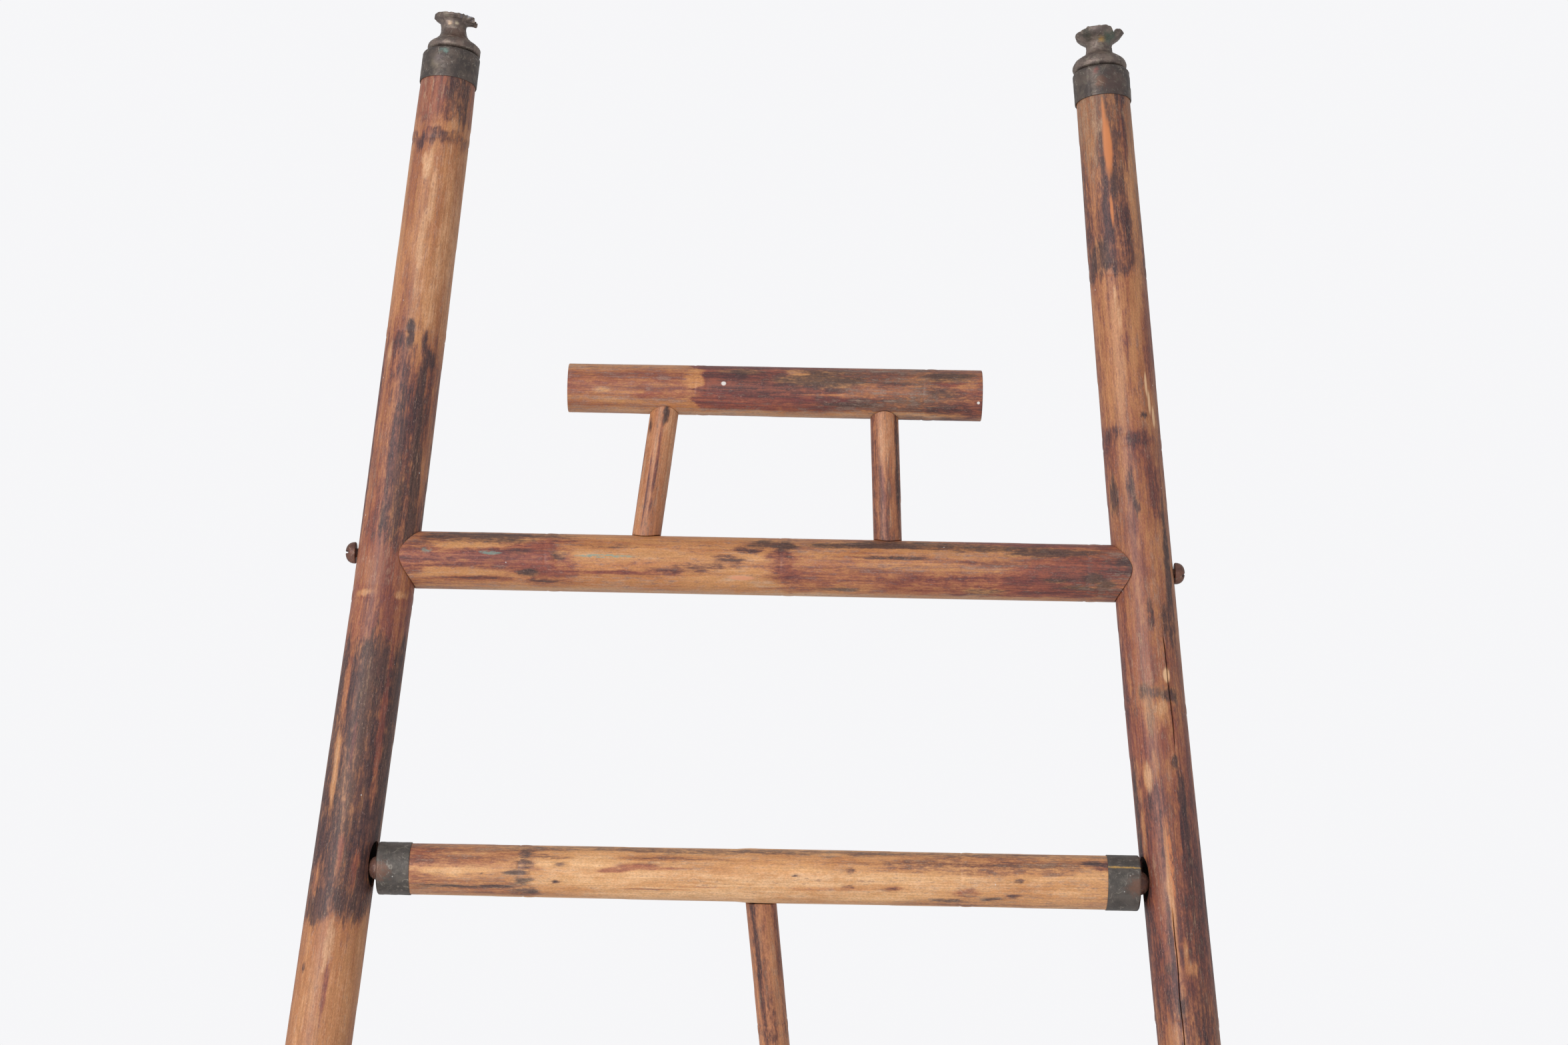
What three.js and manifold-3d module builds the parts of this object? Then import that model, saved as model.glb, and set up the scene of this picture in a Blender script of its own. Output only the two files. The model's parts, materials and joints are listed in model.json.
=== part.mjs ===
// A bamboo display easel: two converging posts, coped cross rails, a raised crest, brass-capped
// post tops with broken finials, and a single rear leg on a turning bar between the posts.
// Millimetres, +Z up, the picture side faces -Y and +X is to the viewer's right.
import * as THREE from "three";
import { mergeVertices } from "three/addons/utils/BufferGeometryUtils.js";
import Module from "manifold-3d";

const wasm = await Module();
wasm.setup();

// ---------------------------------------------------------------------------------------------
// Driving dimensions. "Height" inside the front frame is measured along the leaning frame.
// ---------------------------------------------------------------------------------------------
const LEAN = 13.5; // degrees that the front frame leans back
const LEG_ANGLE = 20; // degrees between the rear leg and the vertical, towards the back
const LEG_SKEW = 5.8; // degrees that the rear leg runs off to the right
const GAP = 0.3; // clearance between touching pieces

const BEND_HEIGHT = 1187; // the posts bend outwards a little here
const BEND_LENGTH = 30; // softness of that bend
const BEND_HALF_SPACING = 209.1; // half the distance between the post axes at the bend
const SPLAY_ABOVE = 0.0754; // sideways run of a post per millimetre of height, above the bend
const SPLAY_BELOW = 0.0923; // and below it
const POST_BORE = 8; // radius of the hollow in a post
const POST_BORE_FLOOR = 45; // the lowest node closes the hollow here
const POSTS = {
  left: {
    side: -1,
    top: 1515, // height of the sawn top, inside the collar
    ends: [19.3, 15.8], // radius at the foot and at the top
    screwRaise: 3.2, // the rail screws sit this far above the rail's axis
    rimLoss: 1.9, // mean height torn off the finial's rim
    tearPhase: 0.4,
    nodes: [[95, 19.1], [262, 18.8], [430, 18.5], [598, 18.2], [760, 17.9],
      [912, 17.6], [1050, 17.2], [1199, 16.5], [1349, 16.3], [1464, 16.0]],
  },
  right: {
    side: 1,
    top: 1512.2,
    ends: [18.8, 15.6],
    screwRaise: 0.8,
    rimLoss: 0.9,
    tearPhase: 2.3,
    nodes: [[60, 18.6], [215, 18.2], [375, 17.9], [530, 17.5], [680, 17.2],
      [832, 16.9], [979, 16.6], [1147, 16.4], [1294, 16.1], [1392, 15.9]],
  },
};

const RAIL_SETBACK = 0.7; // rail axes sit this far behind the post axes
const RAIL_BORE = 8;
const RAIL_BORE_DEPTH = 46;
const RAILS = {
  upper_rail: { height: 1222, ends: [15.9, 15.6], nodes: [-117, 11, 178] },
  lower_rail: { height: 470, ends: [16.6, 16.4], nodes: [-190, -45, 105, 240] },
};

const SCREW_HEAD_RADIUS = 5.9; // round-head rail screws
const SCREW_HEAD_HEIGHT = 4.9;
const SCREW_SHANK_RADIUS = 2.5;
const SCREW_LENGTH = 60;
const SCREW_SLOT = [1.4, 1.6]; // slot width and depth
const SCREW_STANDOFF = 1.0; // the head stands this far off the post

const CREST_HEIGHT = 1321.5;
const CREST_ENDS = [-111, 117.7];
const CREST_RADII = [13.4, 14.0];
const CREST_NODES = [-38, 88];
const CREST_BORE = 6.5;
const CREST_BORE_DEPTH = 26;
const STRUTS = {
  crest_strut_left: { bottom: -65.6, top: -57.7 },
  crest_strut_right: { bottom: 66.8, top: 64.1 },
};
const STRUT_HEIGHTS = [1238, 1308]; // heights at which the strut positions above are given
const STRUT_RADIUS = 7.9;
const DOWEL_RADIUS = 2.6;
const DOWEL_LENGTH = 20;

const COLLAR_HEIGHT = 18.5;
const COLLAR_WALL = 0.7;
const COLLAR_PROUD = 0.55; // the collar stands this far outside the bamboo
const SHEET = 0.8; // thickness of the brass end discs
const FINIAL_SCREW_RADIUS = 2.4;
const TOP_PLUG_DEPTH = 42;

const PIVOT_HEIGHT = 1051.9;
const PIVOT_FORWARD = 4.7; // the pivot axis is this far in front of the post axes
const BAR_HALF_LENGTH = 202.6; // over the ferrules
const BAR_RADII = [13.6, 14.3];
const BAR_NODES = [-124, -7, 110];
const BAR_BORE = 7;
const BAR_BORE_DEPTH = 40;
const FERRULE_LENGTH = 17.6;
const FERRULE_WALL = 0.6;
const FERRULE_PROUD = 0.5;
const PIN_HEAD_RADIUS = 6.4;
const PIN_HEAD_HEIGHT = 5.6;
const PIN_SHANK_RADIUS = 2.2;
const PIN_LENGTH = 34;
const SOCKET_CENTRE = 204.6; // distance of each scooped socket's centre from the middle
const SOCKET_RAISE = 1.5;
const SOCKET_SEMI_AXES = [4.3, 6.8, 12.9];

const LEG_RADII = [8.0, 10.2]; // at the bar and at the foot
const LEG_NODES = [90, 235, 390, 550, 715, 880, 1020]; // distances down from the pivot axis
const TENON_RADIUS = 6;
const TENON_TOP = 8; // the tenon ends this far past the bar's axis
const NAIL_RADIUS = 1.2;
const FOOT_FERRULE_LENGTH = 26;
const FOOT_FERRULE_WALL = 1;

const PEG_HEIGHT = 545;
const PEG_RADIUS = 4.7;
const PEG_TAIL = 12; // the peg's tail reaches this far behind the post axis
const PEG_REACH = 56; // length in front of the post
const PEG_FLAT = 4.3; // height of the planed flat above the peg's axis

const CULM_SIDES = 20;
const THIN_SIDES = 16;

// ---------------------------------------------------------------------------------------------
// Materials
// ---------------------------------------------------------------------------------------------
const finish = (color, roughness, metalness) =>
  new THREE.MeshStandardMaterial({ color, roughness, metalness });
const FINISHES = {
  postBamboo: finish(0x8a5a3c, 0.45, 0),
  railBamboo: finish(0xa8693f, 0.45, 0),
  barBamboo: finish(0xcf965c, 0.42, 0),
  thinBamboo: finish(0x9c6038, 0.45, 0),
  plugWood: finish(0xb58a5c, 0.8, 0),
  pegWood: finish(0x7a4a2c, 0.5, 0),
  brass: finish(0x57524c, 0.5, 0.85),
  iron: finish(0x73503f, 0.65, 0.7),
};

// ---------------------------------------------------------------------------------------------
// Solids
// ---------------------------------------------------------------------------------------------
const radians = THREE.MathUtils.degToRad;
const lerp = THREE.MathUtils.lerp;

/** The closed geometry as a manifold solid, moved by the matrix. */
function solidOf(geometry, matrix = new THREE.Matrix4()) {
  const moved = geometry.clone().applyMatrix4(matrix);
  moved.deleteAttribute("normal");
  moved.deleteAttribute("uv");
  const merged = mergeVertices(moved, 1e-4);
  const corners = merged.index.array;
  const triVerts = [];
  for (let i = 0; i < corners.length; i += 3) {
    const [a, b, c] = corners.slice(i, i + 3);
    if (a !== b && b !== c && c !== a) triVerts.push(a, b, c);
  }
  const vertProperties = new Float32Array(merged.attributes.position.array);
  const mesh = new wasm.Mesh({ numProp: 3, vertProperties, triVerts: new Uint32Array(triVerts) });
  return new wasm.Manifold(mesh);
}

/** A named mesh for a finished solid. */
function meshOf(name, solid, material) {
  const { vertProperties, triVerts } = solid.getMesh();
  const geometry = new THREE.BufferGeometry();
  geometry.setAttribute("position", new THREE.BufferAttribute(vertProperties.slice(), 3));
  geometry.setIndex(new THREE.BufferAttribute(triVerts.slice(), 1));
  geometry.computeVertexNormals();
  const mesh = new THREE.Mesh(geometry, material);
  mesh.name = name;
  return mesh;
}

/** A lathe about +Z. The outline is a list of [radius, height], anticlockwise. */
function turned(outline, sides) {
  const points = outline.map(([radius, height]) => new THREE.Vector2(radius, height));
  return new THREE.LatheGeometry(points, sides).rotateX(Math.PI / 2);
}

/** A closed outline for a ring-shaped section: it ends where it starts. */
const ringOutline = (points) => [...points, points[0]];

/** Turns +Z to point along the direction and moves the origin there. */
function placement(origin, direction) {
  const up = new THREE.Vector3(0, 0, 1);
  const turn = new THREE.Quaternion().setFromUnitVectors(up, direction.clone().normalize());
  return new THREE.Matrix4().compose(origin, turn, new THREE.Vector3(1, 1, 1));
}

/** A cylinder from one point to another. */
function rod(from, to, radius, sides = THIN_SIDES) {
  const along = to.clone().sub(from);
  const geometry = new THREE.CylinderGeometry(radius, radius, along.length(), sides);
  geometry.rotateX(Math.PI / 2).translate(0, 0, along.length() / 2);
  return solidOf(geometry, placement(from, along));
}

const at = (x, y, z) => new THREE.Vector3(x, y, z);
const X_AXIS = at(1, 0, 0);

/** The raised ring that a bamboo node leaves on the outline, as [height offset, extra radius]. */
const NODE_RING = [[-5, 0], [1, 0.45], [7, 0]];

/** Outer outline of a bamboo culm from low to high, with a ring at each node. */
function culmOutline([low, lowRadius], [high, highRadius], nodes, grow = 0) {
  const outline = [[lowRadius + grow, low]];
  for (const [height, radius] of nodes) {
    for (const [offset, extra] of NODE_RING) {
      outline.push([radius + extra + grow, height + offset]);
    }
  }
  outline.push([highRadius + grow, high]);
  return outline;
}

/** Node radii for a culm that tapers evenly between its two ends. */
const taperedNodes = (positions, [low, lowRadius], [high, highRadius]) =>
  positions.map((p) => [p, lerp(lowRadius, highRadius, (p - low) / (high - low))]);

/** The floor as a thick slab, seen from a part's own frame. */
function floorSlab(toLocal) {
  const depth = 200;
  return solidOf(new THREE.BoxGeometry(2000, 2000, depth).translate(0, 0, -depth / 2), toLocal);
}

// ---------------------------------------------------------------------------------------------
// Frames: the leaning front frame and the swinging leg
// ---------------------------------------------------------------------------------------------
const easel = new THREE.Group();
const frontFrame = new THREE.Group();
const rearLeg = new THREE.Group();
easel.add(frontFrame, rearLeg);
frontFrame.rotation.x = -radians(LEAN);
frontFrame.updateMatrixWorld();
rearLeg.position.copy(frontFrame.localToWorld(at(0, -PIVOT_FORWARD, PIVOT_HEIGHT)));
rearLeg.rotation.x = radians(LEG_ANGLE);
rearLeg.updateMatrixWorld();

const frameFloor = floorSlab(frontFrame.matrixWorld.clone().invert());
const legFloor = floorSlab(rearLeg.matrixWorld.clone().invert());

/** Distance of a post's axis from the middle of the easel, a straight run bent once. */
function postOffset(height) {
  const below = BEND_HEIGHT - height;
  const mean = (SPLAY_ABOVE + SPLAY_BELOW) / 2;
  const bend = (SPLAY_BELOW - SPLAY_ABOVE) / 2;
  return BEND_HALF_SPACING + mean * below + bend * Math.hypot(below, BEND_LENGTH);
}

/** A post's radius at a height, between its nodes. */
function postRadius(post, height) {
  const stations = [[0, post.ends[0]], ...post.nodes, [post.top, post.ends[1]]];
  const upper = stations.findIndex(([station]) => station >= height);
  const [[low, lowRadius], [high, highRadius]] = stations.slice(upper - 1, upper + 1);
  return lerp(lowRadius, highRadius, (height - low) / (high - low));
}

/** Direction of a post's axis at its top. */
const postTopDirection = (post) => at(-post.side * SPLAY_ABOVE, 0, 1).normalize();
const postPoint = (post, height) => at(post.side * postOffset(height), 0, height);

// ---------------------------------------------------------------------------------------------
// Posts
// ---------------------------------------------------------------------------------------------
const BELOW_FLOOR = -20; // posts are made too long, then sawn off level with the floor
const ABOVE_TOP = 5; // and square at the top

/** Slides each ring of an upright turned shape sideways so that it follows the post's axis. */
function followPost(geometry, post) {
  const position = geometry.attributes.position;
  for (let i = 0; i < position.count; i += 1) {
    position.setX(i, position.getX(i) + post.side * postOffset(position.getZ(i)));
  }
  return geometry;
}

/** The post as a full solid, grown outwards for cutting its neighbours. */
function postBody(post, grow = 0) {
  const [footRadius, topRadius] = post.ends;
  const end = post.top + ABOVE_TOP;
  const outer = culmOutline([BELOW_FLOOR, footRadius], [end, topRadius], post.nodes, grow);
  const outline = [[0, BELOW_FLOOR], ...outer, [0, end]];
  return solidOf(followPost(turned(outline, CULM_SIDES), post));
}

/** The hollow, open at the top and closed by the lowest node. */
function postHollow(post) {
  const top = post.top + 2 * ABOVE_TOP;
  const wall = [POST_BORE_FLOOR, 400, 800, BEND_HEIGHT - 60, BEND_HEIGHT, BEND_HEIGHT + 60, top];
  const outline = [[0, POST_BORE_FLOOR], ...wall.map((height) => [POST_BORE, height]), [0, top]];
  return solidOf(followPost(turned(outline, THIN_SIDES), post));
}

/** What has to come off a culm's end to leave a stem of the given radius. */
function rebate(origin, direction, length, stemRadius) {
  const outer = stemRadius + 8;
  const outline = ringOutline([[stemRadius, 0], [outer, 0], [outer, length], [stemRadius, length]]);
  return solidOf(turned(outline, CULM_SIDES), placement(origin, direction));
}

const collarRadius = (post) => post.ends[1] + COLLAR_PROUD;
const footFerruleRadius = (post) => post.ends[0] + 0.7;

/** The scooped socket that the domed pin turns in. */
function pivotSocket(post) {
  const socket = new THREE.SphereGeometry(1, 16, 12).scale(...SOCKET_SEMI_AXES);
  socket.translate(post.side * SOCKET_CENTRE, -PIVOT_FORWARD, PIVOT_HEIGHT + SOCKET_RAISE);
  return solidOf(socket);
}

/** The screw hole through a post at a rail. */
function railScrewHole(post, height) {
  const radius = SCREW_SHANK_RADIUS + GAP;
  const from = at(post.side * (postOffset(height) - 30), RAIL_SETBACK, height + post.screwRaise);
  const to = at(post.side * (postOffset(height) + 30), RAIL_SETBACK, height + post.screwRaise);
  return rod(from, to, radius);
}

/** The hole that a picture peg pushes into, from the front. */
function pegHole(post) {
  const centre = postPoint(post, PEG_HEIGHT);
  const tail = centre.clone().setY(PEG_TAIL + 1);
  return rod(centre.clone().setY(-40), tail, PEG_RADIUS + GAP);
}

function makePost(name, post) {
  const direction = postTopDirection(post);
  const collarFoot = postPoint(post, post.top - COLLAR_HEIGHT + SHEET);
  const sawnTop = postPoint(post, post.top);
  const stem = collarRadius(post) - COLLAR_WALL - GAP;
  const footStem = footFerruleRadius(post) - FOOT_FERRULE_WALL - GAP;
  const foot = postPoint(post, BELOW_FLOOR - 5);
  const footDirection = postPoint(post, FOOT_FERRULE_LENGTH).sub(foot);
  const footLength = FOOT_FERRULE_LENGTH - BELOW_FLOOR + 5;
  const offcut = rod(sawnTop, sawnTop.clone().addScaledVector(direction, 4 * ABOVE_TOP), 30);
  let solid = postBody(post).subtract(postHollow(post)).subtract(frameFloor).subtract(offcut);
  solid = solid.subtract(rebate(collarFoot, direction, COLLAR_HEIGHT + 10, stem));
  solid = solid.subtract(rebate(foot, footDirection, footLength, footStem));
  solid = solid.subtract(pivotSocket(post)).subtract(pegHole(post));
  for (const { height } of Object.values(RAILS)) {
    solid = solid.subtract(railScrewHole(post, height));
  }
  frontFrame.add(meshOf(name, solid, FINISHES.postBamboo));
}

/** A brass band around the sawn foot, cut off level with it. */
function makeFootFerrule(name, post) {
  const outer = footFerruleRadius(post);
  const inner = outer - FOOT_FERRULE_WALL;
  const foot = postPoint(post, BELOW_FLOOR - 5);
  const direction = postPoint(post, FOOT_FERRULE_LENGTH).sub(foot);
  const top = FOOT_FERRULE_LENGTH - BELOW_FLOOR + 5 - GAP;
  const outline = ringOutline([[inner, 0], [outer, 0], [outer, top - 1], [outer - 0.4, top], [inner, top]]);
  const solid = solidOf(turned(outline, CULM_SIDES), placement(foot, direction)).subtract(frameFloor);
  frontFrame.add(meshOf(name, solid, FINISHES.brass));
}

// ---------------------------------------------------------------------------------------------
// Post tops: plug, collar, broken finial and its screw
// ---------------------------------------------------------------------------------------------
const FINIAL_HEIGHT = 24.6;
const FINIAL_NECK = 14.6; // height of the narrow neck above the finial's base

/** The spun stub: rolled bead, waisted neck and a flared cup whose rim has been torn away. */
function finialOutline() {
  const hole = FINIAL_SCREW_RADIUS + GAP;
  const outside = [[hole, 0], [13.4, 0], [15.2, 1.4], [15.5, 3.6], [14.8, 6], [12, 8], [9, 10.6],
    [7.5, FINIAL_NECK], [8.3, 17.2], [10.6, 20.6], [13.6, FINIAL_HEIGHT]];
  const inside = [[12.8, FINIAL_HEIGHT], [9.7, 20.8], [7.4, 17.4], [6.6, FINIAL_NECK], [6.4, 1.2], [hole, 1.2]];
  return ringOutline([...outside, ...inside]);
}

/** Tears the rim down unevenly, differently on each post. */
function tearRim(geometry, { rimLoss, tearPhase }) {
  const position = geometry.attributes.position;
  for (let i = 0; i < position.count; i += 1) {
    const angle = Math.atan2(position.getY(i), position.getX(i)) + tearPhase;
    const flare = Math.max(0, (position.getZ(i) - FINIAL_NECK) / (FINIAL_HEIGHT - FINIAL_NECK));
    const loss = rimLoss + 0.5 * Math.sin(2 * angle) + 0.3 * Math.sin(5 * angle);
    position.setZ(i, position.getZ(i) - flare * flare * loss);
  }
  return geometry;
}

function makePostTop(side, post) {
  const top = new THREE.Group();
  top.position.copy(postPoint(post, post.top));
  top.quaternion.setFromUnitVectors(at(0, 0, 1), postTopDirection(post));
  frontFrame.add(top);

  const hole = FINIAL_SCREW_RADIUS + GAP;
  const plugRadius = POST_BORE - GAP;
  const plugOutline = ringOutline([[hole, -TOP_PLUG_DEPTH], [plugRadius, -TOP_PLUG_DEPTH],
    [plugRadius, -GAP], [hole, -GAP]]);
  top.add(meshOf(`${side}_post_plug`, solidOf(turned(plugOutline, THIN_SIDES)), FINISHES.plugWood));

  const outer = collarRadius(post);
  const inner = outer - COLLAR_WALL;
  const discTop = GAP + SHEET;
  const collarFoot = discTop - COLLAR_HEIGHT;
  const collarOutline = ringOutline([[inner, collarFoot], [outer, collarFoot], [outer, discTop - 3],
    [outer - 0.6, discTop - 1], [outer - 1.8, discTop], [hole, discTop], [hole, GAP], [inner, GAP]]);
  top.add(meshOf(`${side}_post_collar`, solidOf(turned(collarOutline, CULM_SIDES)), FINISHES.brass));

  const finialBase = discTop + GAP;
  const finialGeometry = tearRim(turned(finialOutline(), CULM_SIDES), post);
  const finial = meshOf(`${side}_finial_stub`, solidOf(finialGeometry), FINISHES.brass);
  finial.position.z = finialBase;
  top.add(finial);

  const headBase = finialBase + 1.2 + GAP;
  const tip = -TOP_PLUG_DEPTH + 8;
  const shank = FINIAL_SCREW_RADIUS;
  const screwOutline = [[0, tip], [shank, tip + 5], [shank, headBase], [5, headBase], [4.4, headBase + 1.8],
    [2.6, headBase + 2.8], [0, headBase + 3.1]];
  top.add(meshOf(`${side}_finial_screw`, solidOf(turned(screwOutline, THIN_SIDES)), FINISHES.iron));
}

// ---------------------------------------------------------------------------------------------
// Cross rails with coped ends, their end plugs and round-head screws
// ---------------------------------------------------------------------------------------------
const LIP = 2; // the coped lips stop this far short of the post's axis

/** A solid bamboo pole lying along X. */
function lyingCulm(ends, radii, nodePositions, y, z, grow = 0) {
  const low = [ends[0], radii[0]];
  const high = [ends[1], radii[1]];
  const outer = culmOutline(low, high, taperedNodes(nodePositions, low, high), grow);
  const outline = [[0, ends[0]], ...outer, [0, ends[1]]];
  return solidOf(turned(outline, CULM_SIDES), placement(at(0, y, z), X_AXIS));
}

function railBody({ height, ends, nodes }, grow = 0) {
  const reach = postOffset(height) - LIP;
  return lyingCulm([-reach, reach], ends, nodes, RAIL_SETBACK, height, grow);
}

const postCutters = Object.values(POSTS).map((post) => postBody(post, GAP));

function makeRail(name, rail) {
  const { height } = rail;
  let solid = railBody(rail);
  for (const [side, post] of Object.entries(POSTS)) {
    const postAxis = at(post.side * postOffset(height), RAIL_SETBACK, height);
    const boreEnd = postAxis.clone().setX(post.side * (postOffset(height) - 16 - RAIL_BORE_DEPTH));
    solid = solid.subtract(rod(boreEnd, postAxis, RAIL_BORE));

    const plugEnd = boreEnd.clone().setX(boreEnd.x + post.side);
    const plug = rod(plugEnd, postAxis, RAIL_BORE - GAP).subtract(railPlugHole(post, height));
    const coped = plug.subtract(postCutters[0]).subtract(postCutters[1]);
    frontFrame.add(meshOf(`${name}_${side}_plug`, coped, FINISHES.plugWood));
    frontFrame.add(railScrew(`${name}_${side}_screw`, post, height));
  }
  for (const cutter of postCutters) {
    solid = solid.subtract(cutter);
  }
  for (const { dowelHole } of name === "upper_rail" ? strutDowels("lower") : []) {
    solid = solid.subtract(dowelHole);
  }
  frontFrame.add(meshOf(name, solid, FINISHES.railBamboo));
}

const screwSeat = (post, height) => postOffset(height) + postRadius(post, height) + SCREW_STANDOFF;

/** The blind hole in a rail's end plug for the screw. */
function railPlugHole(post, height) {
  const depth = screwSeat(post, height) - SCREW_LENGTH - 1;
  const from = at(post.side * depth, RAIL_SETBACK, height + post.screwRaise);
  const to = at(post.side * postOffset(height), RAIL_SETBACK, height + post.screwRaise);
  return rod(from, to, SCREW_SHANK_RADIUS + GAP);
}

/** A round-head slotted wood screw driven in from outside the post. */
function railScrew(name, post, height) {
  const [slotWidth, slotDepth] = SCREW_SLOT;
  const r = SCREW_HEAD_RADIUS;
  const h = SCREW_HEAD_HEIGHT;
  const outline = [[0, -SCREW_LENGTH], [SCREW_SHANK_RADIUS, -SCREW_LENGTH + 8], [SCREW_SHANK_RADIUS, 0], [r, 0],
    [r, 0.25 * h], [0.93 * r, 0.5 * h], [0.72 * r, 0.78 * h], [0.4 * r, 0.95 * h], [0, h]];
  const slot = new THREE.BoxGeometry(slotWidth, 4 * r, 2 * slotDepth).translate(0, 0, h);
  const solid = solidOf(turned(outline, THIN_SIDES)).subtract(solidOf(slot));
  const screw = meshOf(name, solid, FINISHES.iron);
  screw.position.set(post.side * screwSeat(post, height), RAIL_SETBACK, height + post.screwRaise);
  screw.quaternion.setFromUnitVectors(at(0, 0, 1), at(post.side, 0, 0));
  return screw;
}

// ---------------------------------------------------------------------------------------------
// Crest: a short bar on two coped struts
// ---------------------------------------------------------------------------------------------
/** A point on a strut's axis at a height. */
function strutPoint({ bottom, top }, height) {
  const [low, high] = STRUT_HEIGHTS;
  return at(lerp(bottom, top, (height - low) / (high - low)), RAIL_SETBACK, height);
}

/** The hidden dowels at one end of both struts, with the holes they sit in. */
function strutDowels(end) {
  const seat = end === "lower" ? RAILS.upper_rail.height + 16 : CREST_HEIGHT - 14;
  return Object.entries(STRUTS).map(([strutName, strut]) => {
    const span = [-DOWEL_LENGTH / 2, DOWEL_LENGTH / 2].map((offset) => strutPoint(strut, seat + offset));
    const hole = [-DOWEL_LENGTH / 2 - 0.5, DOWEL_LENGTH / 2 + 0.5].map((offset) => strutPoint(strut, seat + offset));
    return {
      name: `${strutName}_${end}_dowel`,
      dowel: rod(...span, DOWEL_RADIUS, 12),
      dowelHole: rod(...hole, DOWEL_RADIUS + GAP, 12),
    };
  });
}

function crestBody(grow = 0) {
  return lyingCulm(CREST_ENDS, CREST_RADII, CREST_NODES, RAIL_SETBACK, CREST_HEIGHT, grow);
}

function makeCrest() {
  let bar = crestBody();
  CREST_ENDS.forEach((end, i) => {
    const inward = i === 0 ? 1 : -1;
    const mouth = at(end - inward, RAIL_SETBACK, CREST_HEIGHT);
    const bottom = mouth.clone().setX(end + inward * CREST_BORE_DEPTH);
    bar = bar.subtract(rod(mouth, bottom, CREST_BORE));
    const plugFrom = mouth.clone().setX(end + inward * 0.4);
    const plugTo = bottom.clone().setX(bottom.x - inward);
    const plug = rod(plugFrom, plugTo, CREST_BORE - GAP);
    frontFrame.add(meshOf(`crest_bar_${i === 0 ? "left" : "right"}_plug`, plug, FINISHES.plugWood));
  });
  for (const { dowelHole } of strutDowels("upper")) {
    bar = bar.subtract(dowelHole);
  }
  frontFrame.add(meshOf("crest_bar", bar, FINISHES.railBamboo));
}

function makeStruts() {
  const dowels = [...strutDowels("lower"), ...strutDowels("upper")];
  const railCutter = railBody(RAILS.upper_rail, GAP);
  const crestCutter = crestBody(GAP);
  for (const [name, strut] of Object.entries(STRUTS)) {
    const foot = strutPoint(strut, RAILS.upper_rail.height + 6);
    const head = strutPoint(strut, CREST_HEIGHT - 6);
    let solid = rod(foot, head, STRUT_RADIUS, 20).subtract(railCutter).subtract(crestCutter);
    for (const { dowelHole } of dowels) {
      solid = solid.subtract(dowelHole);
    }
    frontFrame.add(meshOf(name, solid, FINISHES.thinBamboo));
  }
  for (const { name, dowel } of dowels) {
    frontFrame.add(meshOf(name, dowel, FINISHES.plugWood));
  }
}

// ---------------------------------------------------------------------------------------------
// Picture pegs, pushed into the posts from the front
// ---------------------------------------------------------------------------------------------
function makePeg(name, post) {
  const shoulder = postRadius(post, PEG_HEIGHT) + 0.8;
  const ball = shoulder + PEG_REACH - 7;
  const outline = [[0, -PEG_TAIL], [PEG_RADIUS - 1, -PEG_TAIL], [PEG_RADIUS, -PEG_TAIL + 1.5],
    [PEG_RADIUS, shoulder], [8.6, shoulder], [9.2, shoulder + 1.6], [8.2, shoulder + 3.4], [6.2, shoulder + 4.6],
    [6.2, ball - 6.4], [7, ball - 3], [7.6, ball], [6.6, ball + 4], [4, ball + 6.4], [0, ball + 7]];
  const flatLength = ball - shoulder - 13;
  const flat = new THREE.BoxGeometry(20, 10, flatLength);
  flat.translate(0, PEG_FLAT + 5, shoulder + 5.6 + flatLength / 2);
  const peg = meshOf(name, solidOf(turned(outline, 20)).subtract(solidOf(flat)), FINISHES.pegWood);
  peg.position.copy(postPoint(post, PEG_HEIGHT));
  peg.rotation.x = Math.PI / 2;
  frontFrame.add(peg);
}

// ---------------------------------------------------------------------------------------------
// Rear leg: turning bar, ferrules, domed pins and the pole
// ---------------------------------------------------------------------------------------------
const BAR_CULM_HALF = BAR_HALF_LENGTH - SHEET - GAP; // the bamboo stops inside the end discs
const barSides = [["left", -1], ["right", 1]];
const barRadius = (sign) => BAR_RADII[sign < 0 ? 0 : 1];
const ferruleRadius = (sign) => barRadius(sign) + FERRULE_PROUD;

function barBody(grow = 0) {
  const ends = [-BAR_CULM_HALF, BAR_CULM_HALF];
  return lyingCulm(ends, BAR_RADII, BAR_NODES, 0, 0, grow);
}

/** A point on the leg's axis at a distance down from the pivot axis. */
const legPoint = (down) => at(down * Math.sin(radians(LEG_SKEW)), 0, -down * Math.cos(radians(LEG_SKEW)));

const nailHole = () => rod(at(0, -7, 0), at(0, 20, 0), NAIL_RADIUS + GAP, 12);

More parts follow.
